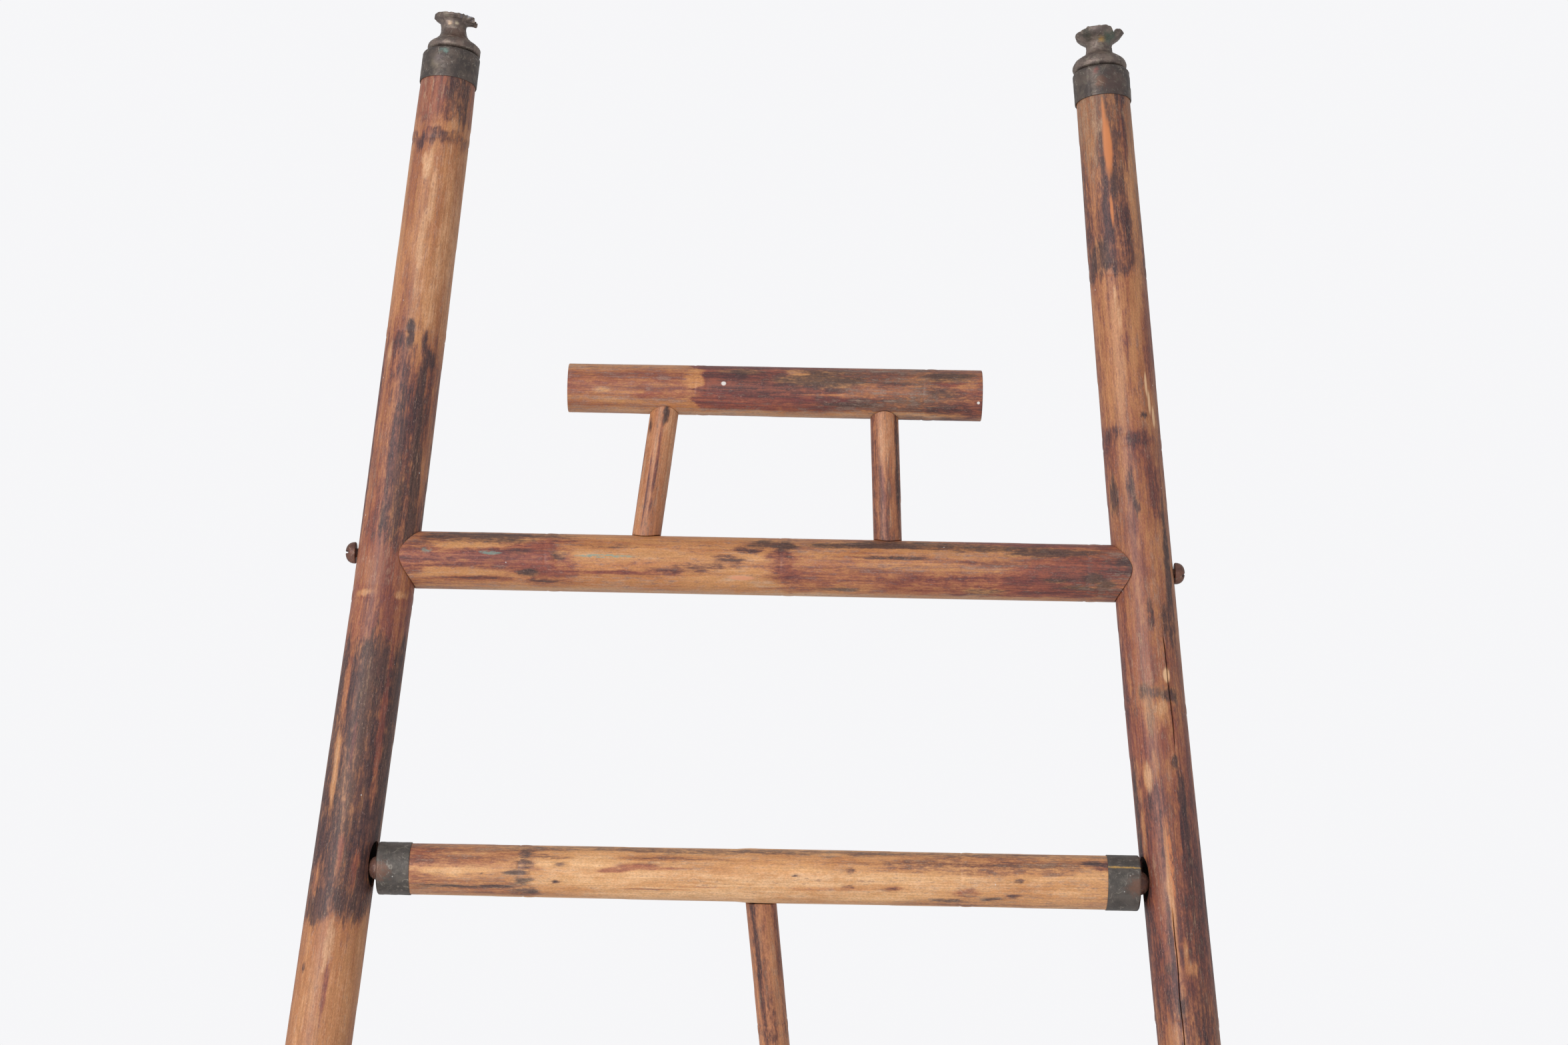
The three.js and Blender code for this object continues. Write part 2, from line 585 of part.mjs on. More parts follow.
function makeTurningBar() {
  let bar = barBody();
  for (const [side, sign] of barSides) {
    const inward = at(-sign, 0, 0);
    const mouth = at(sign * (BAR_CULM_HALF + 1), 0, 0);
    const stem = ferruleRadius(sign) - FERRULE_WALL - GAP;
    bar = bar.subtract(rebate(mouth, inward, FERRULE_LENGTH - SHEET + 1, stem));
    const bottom = at(sign * (BAR_CULM_HALF - BAR_BORE_DEPTH), 0, 0);
    bar = bar.subtract(rod(mouth, bottom, BAR_BORE));

    const plugFrom = at(sign * (BAR_CULM_HALF - GAP), 0, 0);
    const plugTo = at(sign * (BAR_CULM_HALF - BAR_BORE_DEPTH + 1), 0, 0);
    const pinBottom = at(sign * (BAR_HALF_LENGTH - PIN_LENGTH - 1), 0, 0);
    const pinHole = rod(mouth, pinBottom, PIN_SHANK_RADIUS + GAP, 12);
    const plug = rod(plugFrom, plugTo, BAR_BORE - GAP).subtract(pinHole);
    rearLeg.add(meshOf(`pivot_bar_${side}_plug`, plug, FINISHES.plugWood));
    rearLeg.add(barFerrule(side, sign), pivotPin(side, sign));
  }
  const mortise = rod(legPoint(30), legPoint(-TENON_TOP - GAP), TENON_RADIUS + GAP);
  bar = bar.subtract(mortise).subtract(nailHole());
  rearLeg.add(meshOf("pivot_bar", bar, FINISHES.barBamboo));
}

/** A thin brass cap on the bar's end, with a hole for the pin. */
function barFerrule(side, sign) {
  const outer = ferruleRadius(sign);
  const inner = outer - FERRULE_WALL;
  const hole = PIN_SHANK_RADIUS + GAP;
  const disc = BAR_HALF_LENGTH - SHEET;
  const skirt = BAR_HALF_LENGTH - FERRULE_LENGTH;
  const outline = ringOutline([[inner, skirt], [outer, skirt], [outer, BAR_HALF_LENGTH - 1.4],
    [outer - 0.5, BAR_HALF_LENGTH - 0.5], [outer - 1.5, BAR_HALF_LENGTH], [hole, BAR_HALF_LENGTH],
    [hole, disc], [inner, disc]]);
  const place = placement(at(0, 0, 0), at(sign, 0, 0));
  return meshOf(`pivot_${side}_ferrule`, solidOf(turned(outline, CULM_SIDES), place), FINISHES.brass);
}

/** The iron pin: its shank is in the bar's plug and its dome turns in the post's socket. */
function pivotPin(side, sign) {
  const base = BAR_HALF_LENGTH + 0.1;
  const tip = BAR_HALF_LENGTH - PIN_LENGTH;
  const outline = [[0, tip], [PIN_SHANK_RADIUS, tip + 5], [PIN_SHANK_RADIUS, base], [PIN_HEAD_RADIUS, base]];
  const steps = 6;
  for (let i = 1; i <= steps; i += 1) {
    const angle = (i / steps) * (Math.PI / 2);
    outline.push([PIN_HEAD_RADIUS * Math.cos(angle), base + PIN_HEAD_HEIGHT * Math.sin(angle)]);
  }
  outline[outline.length - 1][0] = 0;
  const place = placement(at(0, 0, 0), at(sign, 0, 0));
  return meshOf(`pivot_${side}_pin`, solidOf(turned(outline, 20), place), FINISHES.iron);
}

/** Distance along the leg from the pivot axis to the floor. */
const legReach = rearLeg.position.z / (Math.cos(radians(LEG_SKEW)) * Math.cos(radians(LEG_ANGLE)));

function makeLeg() {
  const end = legReach + 15;
  const low = [0, LEG_RADII[0]];
  const high = [end, LEG_RADII[1]];
  const outer = culmOutline(low, high, taperedNodes(LEG_NODES, low, high));
  const downwards = placement(at(0, 0, 0), legPoint(1));
  const ferruleOuter = LEG_RADII[1] + 0.6;
  const ferruleInner = ferruleOuter - FOOT_FERRULE_WALL;
  const ferruleTop = legReach - FOOT_FERRULE_LENGTH;
  const pole = solidOf(turned([[0, 0], ...outer, [0, end]], THIN_SIDES), downwards);
  const tenon = rod(legPoint(20), legPoint(-TENON_TOP), TENON_RADIUS);
  let solid = pole.subtract(barBody(GAP)).subtract(legFloor);
  solid = solid.subtract(rebate(legPoint(ferruleTop - GAP), legPoint(1), 60, ferruleInner - GAP));
  solid = solid.add(tenon).subtract(nailHole());
  rearLeg.add(meshOf("rear_leg_pole", solid, FINISHES.thinBamboo));

  const outline = ringOutline([[ferruleInner, ferruleTop], [ferruleOuter - 0.4, ferruleTop],
    [ferruleOuter, ferruleTop + 1], [ferruleOuter, end], [ferruleInner, end]]);
  const ferrule = solidOf(turned(outline, THIN_SIDES), downwards).subtract(legFloor);
  rearLeg.add(meshOf("rear_foot_ferrule", ferrule, FINISHES.brass));
}

/** The nail that locks the leg's tenon in the bar, driven from behind. */
function makeLegNail() {
  const head = (BAR_RADII[0] + BAR_RADII[1]) / 2 + 1;
  const outline = [[0, -6], [NAIL_RADIUS, -4], [NAIL_RADIUS, head], [2.8, head], [2.6, head + 0.9], [0, head + 1.2]];
  const place = placement(at(0, 0, 0), at(0, 1, 0));
  rearLeg.add(meshOf("leg_joint_nail", solidOf(turned(outline, 12), place), FINISHES.iron));
}

// ---------------------------------------------------------------------------------------------
// Assembly
// ---------------------------------------------------------------------------------------------
for (const [side, post] of Object.entries(POSTS)) {
  makePost(`${side}_post`, post);
  makeFootFerrule(`${side}_foot_ferrule`, post);
  makePostTop(side, post);
  makePeg(`${side}_picture_peg`, post);
}
for (const [name, rail] of Object.entries(RAILS)) {
  makeRail(name, rail);
}
makeCrest();
makeStruts();
makeTurningBar();
makeLeg();
makeLegNail();

// The origin is on the floor, at the middle of the easel's footprint.
const bounds = new THREE.Box3().setFromObject(easel, true);
easel.position.set(-(bounds.min.x + bounds.max.x) / 2, -(bounds.min.y + bounds.max.y) / 2, -bounds.min.z);

export default easel;
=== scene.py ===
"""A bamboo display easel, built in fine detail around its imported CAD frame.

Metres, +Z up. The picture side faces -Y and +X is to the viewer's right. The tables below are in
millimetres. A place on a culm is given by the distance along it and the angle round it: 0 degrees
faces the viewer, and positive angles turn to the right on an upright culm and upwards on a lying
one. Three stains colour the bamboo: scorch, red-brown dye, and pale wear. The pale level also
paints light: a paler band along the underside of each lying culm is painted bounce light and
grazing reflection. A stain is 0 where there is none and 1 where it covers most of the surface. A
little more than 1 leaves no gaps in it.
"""
import json
import math
from collections import namedtuple

import bmesh
import bpy
import numpy as np
from mathutils import Matrix, Vector


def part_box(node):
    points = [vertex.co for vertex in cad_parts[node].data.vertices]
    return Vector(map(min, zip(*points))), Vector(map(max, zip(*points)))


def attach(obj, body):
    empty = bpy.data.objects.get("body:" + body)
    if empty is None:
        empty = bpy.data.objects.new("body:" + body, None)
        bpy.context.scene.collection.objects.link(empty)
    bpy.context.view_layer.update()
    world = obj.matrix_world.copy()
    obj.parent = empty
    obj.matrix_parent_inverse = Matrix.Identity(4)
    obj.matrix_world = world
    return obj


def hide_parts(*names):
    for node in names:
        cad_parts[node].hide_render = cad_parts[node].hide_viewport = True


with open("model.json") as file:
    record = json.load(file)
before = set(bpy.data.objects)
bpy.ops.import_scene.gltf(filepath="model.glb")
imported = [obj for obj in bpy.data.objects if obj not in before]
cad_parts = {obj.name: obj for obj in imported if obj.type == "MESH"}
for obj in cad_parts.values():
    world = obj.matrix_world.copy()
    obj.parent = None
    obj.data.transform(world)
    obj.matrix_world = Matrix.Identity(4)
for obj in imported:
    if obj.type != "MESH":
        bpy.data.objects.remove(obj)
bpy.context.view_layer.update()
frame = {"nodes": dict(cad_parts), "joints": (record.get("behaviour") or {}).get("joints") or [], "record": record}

# ----------------------------------------------------------------------------------------------
# The frame's own places and directions
# ----------------------------------------------------------------------------------------------
MM = 0.001
MOUNTS = {mount["name"]: mount for mount in frame["record"]["mounts"]}
JOINTS = {joint["name"]: joint for joint in frame["joints"]}
SIDES = {"left": -1, "right": 1}


def unit(vector):
    vector = np.array(vector, float)
    return vector / np.linalg.norm(vector)


def mount_place(name):
    return np.array(MOUNTS[name]["pos_m"], float)


RIGHT = np.array([1.0, 0.0, 0.0])
VIEWER = np.array([0.0, -1.0, 0.0])
VERTICAL = np.array([0.0, 0.0, 1.0])
UP = unit(MOUNTS["left_peg_rest"]["axis"])  # up along the leaning frame
FRONT = unit(JOINTS["left_peg_pull"]["axis"])  # out of its picture side
FLOOR_MIDDLE = (mount_place("left_foot") + mount_place("right_foot")) / 2
PIVOT = np.array(JOINTS["leg_swing"]["pos_m"], float)
LEG_DOWN = unit(mount_place("rear_foot") - PIVOT)
LEG_REACH = np.linalg.norm(mount_place("rear_foot") - PIVOT)

Axes = namedtuple("Axes", "origin along front side")


def axes_along(origin, along, towards=VIEWER):
    """Axes for a turned piece, with its front turned towards a direction."""
    along = unit(along)
    front = unit(towards - (towards @ along) * along)
    return Axes(np.array(origin, float), along, front, np.cross(along, front))


UPRIGHT = Axes(FLOOR_MIDDLE, UP, FRONT, RIGHT)
LYING = Axes(FLOOR_MIDDLE, RIGHT, VIEWER, VERTICAL)
BAR = Axes(PIVOT, RIGHT, VIEWER, VERTICAL)
LEG = Axes(PIVOT, LEG_DOWN, unit(VIEWER - (VIEWER @ LEG_DOWN) * LEG_DOWN), None)
LEG = LEG._replace(side=unit(np.cross(LEG.along, LEG.front)))


def vertices_of(node):
    return np.array([vertex.co for vertex in frame["nodes"][node].data.vertices], float)


# ----------------------------------------------------------------------------------------------
# Small mathematics
# ----------------------------------------------------------------------------------------------
def smoothstep(low, high, value):
    t = np.clip((value - low) / (high - low), 0.0, 1.0)
    return t * t * (3 - 2 * t)


def bell(value, width):
    return np.exp(-((value / width) ** 2))


def line_through(at, places, values):
    """Straight-line interpolation that carries on past both ends."""
    before = values[0] + (at - places[0]) * (values[1] - values[0]) / (places[1] - places[0])
    after = values[-1] + (at - places[-1]) * (values[-1] - values[-2]) / (places[-1] - places[-2])
    inside = np.interp(at, places, values)
    return np.where(at < places[0], before, np.where(at > places[-1], after, inside))


def culm_noise(angle, along, cells_round, cell_length, seed):
    """Smooth random values from 0 to 1, drawn out along a culm and seamless round it."""
    u = (np.asarray(angle) / 360.0 % 1.0) * cells_round
    v = np.asarray(along) / cell_length
    first = int(np.floor(v.min()))
    lattice = np.random.default_rng(seed).random((int(v.max()) - first + 3, cells_round))
    i = np.floor(v).astype(int) - first
    j = np.floor(u).astype(int) % cells_round
    j_next = (j + 1) % cells_round
    fv = smoothstep(0, 1, v % 1.0)
    fu = smoothstep(0, 1, u % 1.0)
    low = lattice[i, j] * (1 - fu) + lattice[i, j_next] * fu
    high = lattice[i + 1, j] * (1 - fu) + lattice[i + 1, j_next] * fu
    return low * (1 - fv) + high * fv


def bearing(angle):
    angle = np.radians(angle)
    return np.cos(angle), np.sin(angle)


def wrapped(angle):
    """An angle brought between -180 and 180 degrees."""
    return (np.asarray(angle) + 180.0) % 360.0 - 180.0


def even_angles(count):
    return np.arange(count) * 360.0 / count


# ----------------------------------------------------------------------------------------------
# Meshes
# ----------------------------------------------------------------------------------------------
SHARP_ANGLE = math.radians(38)


def new_object(name, data):
    made = bpy.data.objects.new(name, data)
    bpy.context.scene.collection.objects.link(made)
    return made


def object_from(name, shape):
    """An object with the faces of a bmesh, which is used up."""
    mesh = bpy.data.meshes.new(name)
    shape.to_mesh(mesh)
    shape.free()
    return new_object(name, mesh)


def skin(name, rows, closed=False):
    """A closed mesh through rows of points round an axis. A row of one point is a pole."""
    starts = np.cumsum([0] + [len(row) for row in rows])
    pairs = list(zip(range(len(rows) - 1), range(1, len(rows))))
    if closed:
        pairs.append((len(rows) - 1, 0))
    faces = []
    for a, b in pairs:
        count = max(len(rows[a]), len(rows[b]))
        here = starts[a] + np.arange(count) % len(rows[a])
        there = starts[b] + np.arange(count) % len(rows[b])
        corners = [here, np.roll(here, -1), np.roll(there, -1), there]
        if len(rows[a]) == 1:
            corners = [here, corners[2], there]
        elif len(rows[b]) == 1:
            corners = [here, corners[1], there]
        faces += np.stack(corners, 1).tolist()
    mesh = bpy.data.meshes.new(name)
    mesh.from_pydata(np.concatenate(rows).tolist(), [], faces)
    turn_outwards(mesh)
    return new_object(name, mesh)


def turn_outwards(mesh):
    """Flips the faces of a closed mesh if they look inwards."""
    shape = bmesh.new()
    shape.from_mesh(mesh)
    if shape.calc_volume(signed=True) < 0:
        bmesh.ops.reverse_faces(shape, faces=shape.faces)
        shape.to_mesh(mesh)
    shape.free()


def spokes_of(axes, radius, angle):
    """Steps from an axis out to points round it. The radius may change with the angle."""
    cosine, sine = bearing(angle)
    return np.outer(radius * cosine, axes.front) + np.outer(radius * sine, axes.side)


def ring(axes, centre, radius, along, angle):
    """Points round an axis. Radius and distance may change with the angle."""
    places = np.outer(np.broadcast_to(along, angle.shape), axes.along)
    return axes.origin + centre + spokes_of(axes, radius, angle) + places


ASKEW = np.array([0.31, -0.83, 0.46])  # turns a drill's flats so that they line up with nothing


def cut(piece, *cutters):
    """Cuts closed shapes out of a piece."""
    for cutter in cutters:
        modifier = piece.modifiers.new("cut", "BOOLEAN")
        modifier.operation = "DIFFERENCE"
        modifier.solver = "MANIFOLD"
        modifier.object = cutter
    evaluated = piece.evaluated_get(bpy.context.evaluated_depsgraph_get())
    mesh = bpy.data.meshes.new_from_object(evaluated)
    piece.modifiers.clear()
    piece.data = mesh
    for cutter in cutters:
        bpy.data.objects.remove(cutter)


def drill(start, end, radius, sides=48):
    """A rod that cuts a hole from one point to another."""
    axes = axes_along(start, end - start, towards=ASKEW)
    length = np.linalg.norm(end - start)
    rims = [ring(axes, 0, radius, along, even_angles(sides)) for along in (0.0, length)]
    return skin("drill", [[start], *rims, [end]])


def scoop(centre, semi_axes, sides=48, bands=24):
    """An ellipsoid that cuts a hollow, with its semi-axes to the right, to the front and up."""
    across, deep, tall = semi_axes
    cosine, sine = bearing(even_angles(sides))
    rows = [[centre - tall * UP]]
    for latitude in np.linspace(-90, 90, bands + 1)[1:-1]:
        width, height = bearing(latitude)
        spokes = np.outer(across * width * cosine, RIGHT) + np.outer(deep * width * sine, FRONT)
        rows.append(centre + spokes + height * tall * UP)
    rows.append([centre + tall * UP])
    return skin("scoop", rows)


def set_attribute(mesh, name, kind, values):
    attribute = mesh.attributes.new(name, kind, "POINT")
    field = "vector" if kind == "FLOAT_VECTOR" else "value"
    attribute.data.foreach_set(field, np.asarray(values, np.float32).ravel())


def vertex_places(piece):
    places = np.empty(len(piece.data.vertices) * 3)
    piece.data.vertices.foreach_get("co", places)
    return places.reshape(-1, 3)


def finish(piece, body, node, material):
    """Gives a piece its material and its body, and hides the CAD node that it stands for."""
    piece.data.materials.clear()
    piece.data.materials.append(material)
    piece.data.shade_smooth()
    piece.data.set_sharp_from_angle(angle=SHARP_ANGLE)
    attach(piece, body)
    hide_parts(node)


# ----------------------------------------------------------------------------------------------
# Materials
# ----------------------------------------------------------------------------------------------
def rgb(red, green, blue):
    """A colour given in sRGB from 0 to 255."""
    def linear(value):
        value /= 255.0
        return value / 12.92 if value <= 0.04045 else ((value + 0.055) / 1.055) ** 2.4
    return (linear(red), linear(green), linear(blue), 1.0)


class Shader:
    """A material's node tree, built by calls that each return an output socket."""

    def __init__(self, name):
        self.material = bpy.data.materials.new(name)
        self.material.use_nodes = True
        self.tree = self.material.node_tree
        self.surface = self.tree.nodes["Principled BSDF"]

    def feed(self, socket, value):
        if isinstance(value, bpy.types.NodeSocket):
            self.tree.links.new(value, socket)
        else:
            socket.default_value = value

    def node(self, kind, inputs=(), **settings):
        node = self.tree.nodes.new(kind)
        for name, value in settings.items():
            setattr(node, name, value)
        for name, value in dict(inputs).items():
            self.feed(node.inputs[name], value)
        return node

    def attribute(self, name, output="Vector"):
        return self.node("ShaderNodeAttribute", attribute_name=name).outputs[output]

    def parts(self, vector):
        return self.node("ShaderNodeSeparateXYZ", {"Vector": vector}).outputs

    def math(self, operation, a, b=0.0, c=0.0):
        return self.node("ShaderNodeMath", {0: a, 1: b, 2: c}, operation=operation).outputs[0]

    def vector(self, operation, a, b=(0, 0, 0), output="Vector"):
        return self.node("ShaderNodeVectorMath", {0: a, 1: b}, operation=operation).outputs[output]

    def noise(self, place, scale, shift, detail=3.0, roughness=0.55):
        """Smooth noise from 0 to 1. The scale is in cells per metre on each axis."""
        stretched = self.vector("MULTIPLY", place, scale)
        moved = self.vector("ADD", stretched, (shift, shift * 0.7, shift * 1.3))
        inputs = {"Vector": moved, "Scale": 1.0, "Detail": detail, "Roughness": roughness}
        return self.node("ShaderNodeTexNoise", inputs).outputs["Fac"]

    def step(self, value, low, high):
        """0 below low, 1 above high and smooth between."""
        inputs = {"Value": value, "From Min": low, "From Max": high}
        return self.node("ShaderNodeMapRange", inputs, interpolation_type="SMOOTHSTEP").outputs["Result"]

    def blend(self, share, a, b, mode="MIX"):
        inputs = {0: share, 6: a, 7: b}
        return self.node("ShaderNodeMix", inputs, data_type="RGBA", blend_type=mode).outputs[2]

    def lay(self, colour, mask, amount, tone):
        """A colour with a tone laid over it, where the mask shows and by an amount."""
        return self.blend(self.math("MULTIPLY", mask, amount), colour, tone)

    def specks(self, place, scale, channel, rare, size):
        """Tiny round specks in a few cells of a pattern, picked by one channel of their colour."""
        cells = self.node("ShaderNodeTexVoronoi", {"Vector": place, "Scale": scale})
        picked = self.step(self.parts(cells.outputs["Color"])[channel], *rare)
        return self.math("MULTIPLY", self.step(cells.outputs["Distance"], *size), picked)

    def finish(self, colour, roughness, bump, bump_depth, **plain):
        """Feeds the surface and returns the material."""
        self.feed(self.surface.inputs["Base Color"], colour)
        self.feed(self.surface.inputs["Roughness"], roughness)
        inputs = {"Height": bump, "Strength": 1.0, "Distance": bump_depth}
        self.feed(self.surface.inputs["Normal"], self.node("ShaderNodeBump", inputs).outputs[0])
        for name, value in plain.items():
            self.surface.inputs[name.replace("_", " ")].default_value = value
        return self.material


Bamboo = namedtuple("Bamboo", "honey deep red mahogany scorch soot pale dust")
POST_TONES = Bamboo(rgb(190, 132, 88), rgb(164, 103, 66), rgb(152, 87, 66), rgb(112, 60, 56),
                    rgb(88, 62, 61), rgb(50, 40, 45), rgb(218, 172, 132), rgb(188, 152, 140))
RAIL_TONES = Bamboo(rgb(204, 146, 94), rgb(182, 118, 72), rgb(156, 86, 66), rgb(114, 56, 54),
                    rgb(94, 68, 62), rgb(58, 46, 47), rgb(196, 168, 142), rgb(178, 148, 134))
BAR_TONES = Bamboo(rgb(224, 168, 114), rgb(204, 142, 90), rgb(168, 100, 72), rgb(124, 72, 60),
                   rgb(108, 84, 80), rgb(62, 54, 58), rgb(232, 194, 152), rgb(206, 172, 150))
THIN_TONES = Bamboo(rgb(196, 134, 92), rgb(172, 110, 74), rgb(144, 84, 66), rgb(104, 58, 52),
                    rgb(80, 56, 54), rgb(48, 38, 42), rgb(212, 168, 130), rgb(184, 146, 130))
LINT = rgb(232, 228, 222)
# painted shade for cracks, holes and hollows, laid on by how deep they sink below the round surface
CREVICE_SHADE = rgb(30, 22, 20)
FAINT_DROP = 0.8  # drops weaker than this are broken up into flecks

# In these functions s is the shader that they build with, and t holds its textures.
# (cells per metre to the side, to the front and along; shift of the seed; detail; roughness)
TEXTURE_RECIPES = {
    "fibres": ((1300, 1300, 20), 0, 3.0, 0.65),
    "streaks": ((400, 400, 20), 11, 4.0, 0.7),
    "broad": ((120, 120, 18), 23, 3.0, 0.6),
    "mottle": ((240, 240, 110), 37, 5.0, 0.75),
    "flecks": ((1000, 1000, 260), 51, 3.0, 0.6),
    "grit": ((1500, 1500, 800), 63, 3.0, 0.7),
}
Textures = namedtuple("Textures", TEXTURE_RECIPES.keys())
HAIRLINES = ((2400, 2400, 50), 71, 1.0, 0.4)


def grain_noise(s, grain, seed, recipe):
    scale, shift, detail, roughness = recipe
    return s.noise(grain, scale, seed + shift, detail, roughness)


def raggedness(s, textures, *shares):
    """The first few textures mixed round zero, each in its share."""
    total = 0.0
    for texture, share in zip(textures, shares):
        total = s.math("MULTIPLY_ADD", s.math("SUBTRACT", texture, 0.5), share, total)
    return total


def stain_mask(s, textures, level, shares, soft):
    """Where a stain shows: its level, broken up by the textures."""
    ragged = raggedness(s, textures, *shares)
    return s.step(s.math("ADD", level, ragged), 0.5 - soft, 0.5 + soft)


def two_tones(s, textures, texture, shares, edges, light, dark):
    """A light and a dark tone, parted along the ragged edges of a texture."""
    ragged = s.math("ADD", texture, raggedness(s, textures, *shares))
    return s.blend(s.step(ragged, *edges), light, dark)


def stained_colour(s, t, tones, red_mask, scorch_mask, pale_mask):
    """Clean bamboo under dye, scorch and pale wear, all broken up by fine grain. The pale level also carries the
    painted light along the undersides of lying culms.
    """
    clean = two_tones(s, t, t.broad, (0.2, 0.5, 0.0, 0.4), (0.3, 0.7), tones.honey, tones.deep)
    dyed = two_tones(s, t, t.streaks, (0.5, 0.0, 0.3, 0.6), (0.34, 0.66), tones.red, tones.mahogany)
    burnt = two_tones(s, t, t.mottle, (0.3, 0.9, 0.0, 0.0), (0.32, 0.62), tones.scorch, tones.soot)
    colour = s.blend(red_mask, clean, dyed)
    colour = s.lay(colour, scorch_mask, 0.9, burnt)
    colour = s.lay(colour, pale_mask, 0.55, tones.pale)
    for texture, edge, amount in ((t.fibres, 0.3, 0.11), (t.grit, 0.35, 0.13), (t.mottle, 0.35, 0.08)):
        dim = (1 - amount,) * 3 + (1,)
        lit = (1 + amount,) * 3 + (1,)
        colour = s.blend(1.0, colour, s.blend(s.step(texture, edge, 1 - edge), dim, lit), "MULTIPLY")
    return colour


def weathered(s, t, grain, seed, tones, colour, dashes):
    """Dark dashes, dusty wear, pale hairline scratches and specks of lint."""
    colour = s.lay(colour, dashes, 0.38, tones.mahogany)
    rubbed = s.step(t.mottle, 0.48, 0.6)
    colour = s.lay(colour, s.math("MULTIPLY", s.step(t.grit, 0.56, 0.68), rubbed), 0.36, tones.dust)
    hairlines = s.step(grain_noise(s, grain, seed, HAIRLINES), 0.66, 0.76)
    colour = s.lay(colour, s.math("MULTIPLY", hairlines, rubbed), 0.42, tones.pale)
    return s.lay(colour, s.specks(grain, 150.0, 0, (0.86, 0.9), (0.07, 0.04)), 0.6, LINT)


def with_drops(s, t, grain, colour, drops):
    """Single spots, each (along, side, front, half length, half width, colour, strength)."""
    ragged = raggedness(s, t, 1.2, 1.2, 0.0, 3.0)
    broken = s.step(t.flecks, 0.4, 0.56)
    for along, side, front, length, width, drop_colour, strength in drops:
        away = s.vector("SUBTRACT", grain, (side * MM, front * MM, along * MM))
        away = s.vector("MULTIPLY", away, (1 / MM / width, 1 / MM / width, 1 / MM / length))
        reach = s.vector("LENGTH", away, output="Value")
        reach = s.math("MULTIPLY_ADD", ragged, 1.3 * (1 - strength), reach)
        area = s.math("MULTIPLY", s.step(reach, 1.25, 0.65), strength)
        if strength < FAINT_DROP:
            area = s.math("MULTIPLY", area, broken)
        colour = s.blend(area, colour, drop_colour)
    return colour


def bamboo_material(name, tones, seed, drops=()):
    """Stained, scorched and worn bamboo, from the values that paint() stores on the mesh, with painted shade in
    its cracks, holes and hollows.
    """
    s = Shader(name)
    grain = s.attribute("grain")
    cavity_shade = s.attribute("cavity_shade", "Fac")
    scorch, red, pale = s.parts(s.attribute("stain"))
    t = Textures(*(grain_noise(s, grain, seed, recipe) for recipe in TEXTURE_RECIPES.values()))
    red_mask = stain_mask(s, t, red, (0.4, 0.9, 0.6, 0.9, 1.0), 0.44)
    scorch_mask = stain_mask(s, t, scorch, (0.5, 0.8, 0.4, 1.1, 1.1), 0.42)
    pale_mask = stain_mask(s, t, pale, (0.9, 0.9, -0.5, 1.4, 1.1), 0.4)
    dashes = s.step(s.math("ADD", t.flecks, raggedness(s, t, 0.0, 0.4, 0.0, 0.3)), 0.6, 0.72)

    colour = stained_colour(s, t, tones, red_mask, scorch_mask, pale_mask)
    colour = weathered(s, t, grain, seed, tones, colour, dashes)
    colour = with_drops(s, t, grain, colour, drops)
    # painted shade: cracks, holes and hollows darkened by how deep they sink
    colour = s.blend(cavity_shade, colour, CREVICE_SHADE)
    roughness = s.math("MULTIPLY_ADD", t.mottle, 0.3, 0.34)
    roughness = s.math("MULTIPLY_ADD", scorch_mask, 0.06, roughness)
    roughness = s.math("MULTIPLY_ADD", cavity_shade, 0.4, roughness)
    height = s.math("MULTIPLY_ADD", t.mottle, 0.6, s.math("MULTIPLY", t.fibres, 0.6))
    height = s.math("MULTIPLY_ADD", t.grit, 0.25, height)
    height = s.math("MULTIPLY_ADD", dashes, -0.35, height)
    return s.finish(colour, roughness, height, 0.00014, Specular_IOR_Level=0.45, Coat_Weight=0.06,
                    Coat_Roughness=0.35)


def metal_material(name, tones, metallic, seed, marks=(), grit=1.0):
    """Patinated metal: three mottled tones, scratches, lint and chosen marks.

    A mark is (centre in metres, radius in millimetres, colour, strength).
    """
    s = Shader(name)
    place = s.node("ShaderNodeTexCoord").outputs["Object"]
    clouds = s.noise(place, (160, 160, 160), seed, 4.0, 0.62)
    speckle = s.noise(place, (900, 900, 900), seed + 9, 3.0, 0.6)
    film = s.noise(place, (420, 420, 420), seed + 21, 3.0, 0.6)
    colour = s.blend(s.step(clouds, 0.38, 0.6), tones[0], tones[1])
    colour = s.lay(colour, s.step(film, 0.52, 0.68), 0.7, tones[2])
    for size, shift in ((95, 33), (150, 47)):
        curves = s.noise(place, (size, size, size), seed + shift, 1.0, 0.4)
        line = s.step(s.math("ABSOLUTE", s.math("SUBTRACT", curves, 0.5)), 0.012, 0.003)
        scratch = s.math("MULTIPLY", line, s.step(film, 0.44, 0.6))
        colour = s.lay(colour, scratch, 0.4 * grit, SCRATCH)
    lint = s.specks(place, 420.0, 1, (0.82, 0.88), (0.09, 0.05))
    colour = s.lay(colour, lint, 0.6 * grit, METAL_LINT)
    ragged = s.math("MULTIPLY", s.math("SUBTRACT", film, 0.5), 2.6)
    for centre, radius, mark_colour, strength in marks:
        away = s.math("DIVIDE", s.vector("DISTANCE", place, tuple(centre), "Value"), radius * MM)
        area = s.step(s.math("ADD", away, ragged), 1.75, 0.25)
        colour = s.lay(colour, area, strength, mark_colour)
    roughness = s.math("MULTIPLY_ADD", film, 0.35, 0.34)
    height = s.math("MULTIPLY_ADD", speckle, 0.5, film)
    return s.finish(colour, roughness, height, 0.00018 * grit, Metallic=metallic)


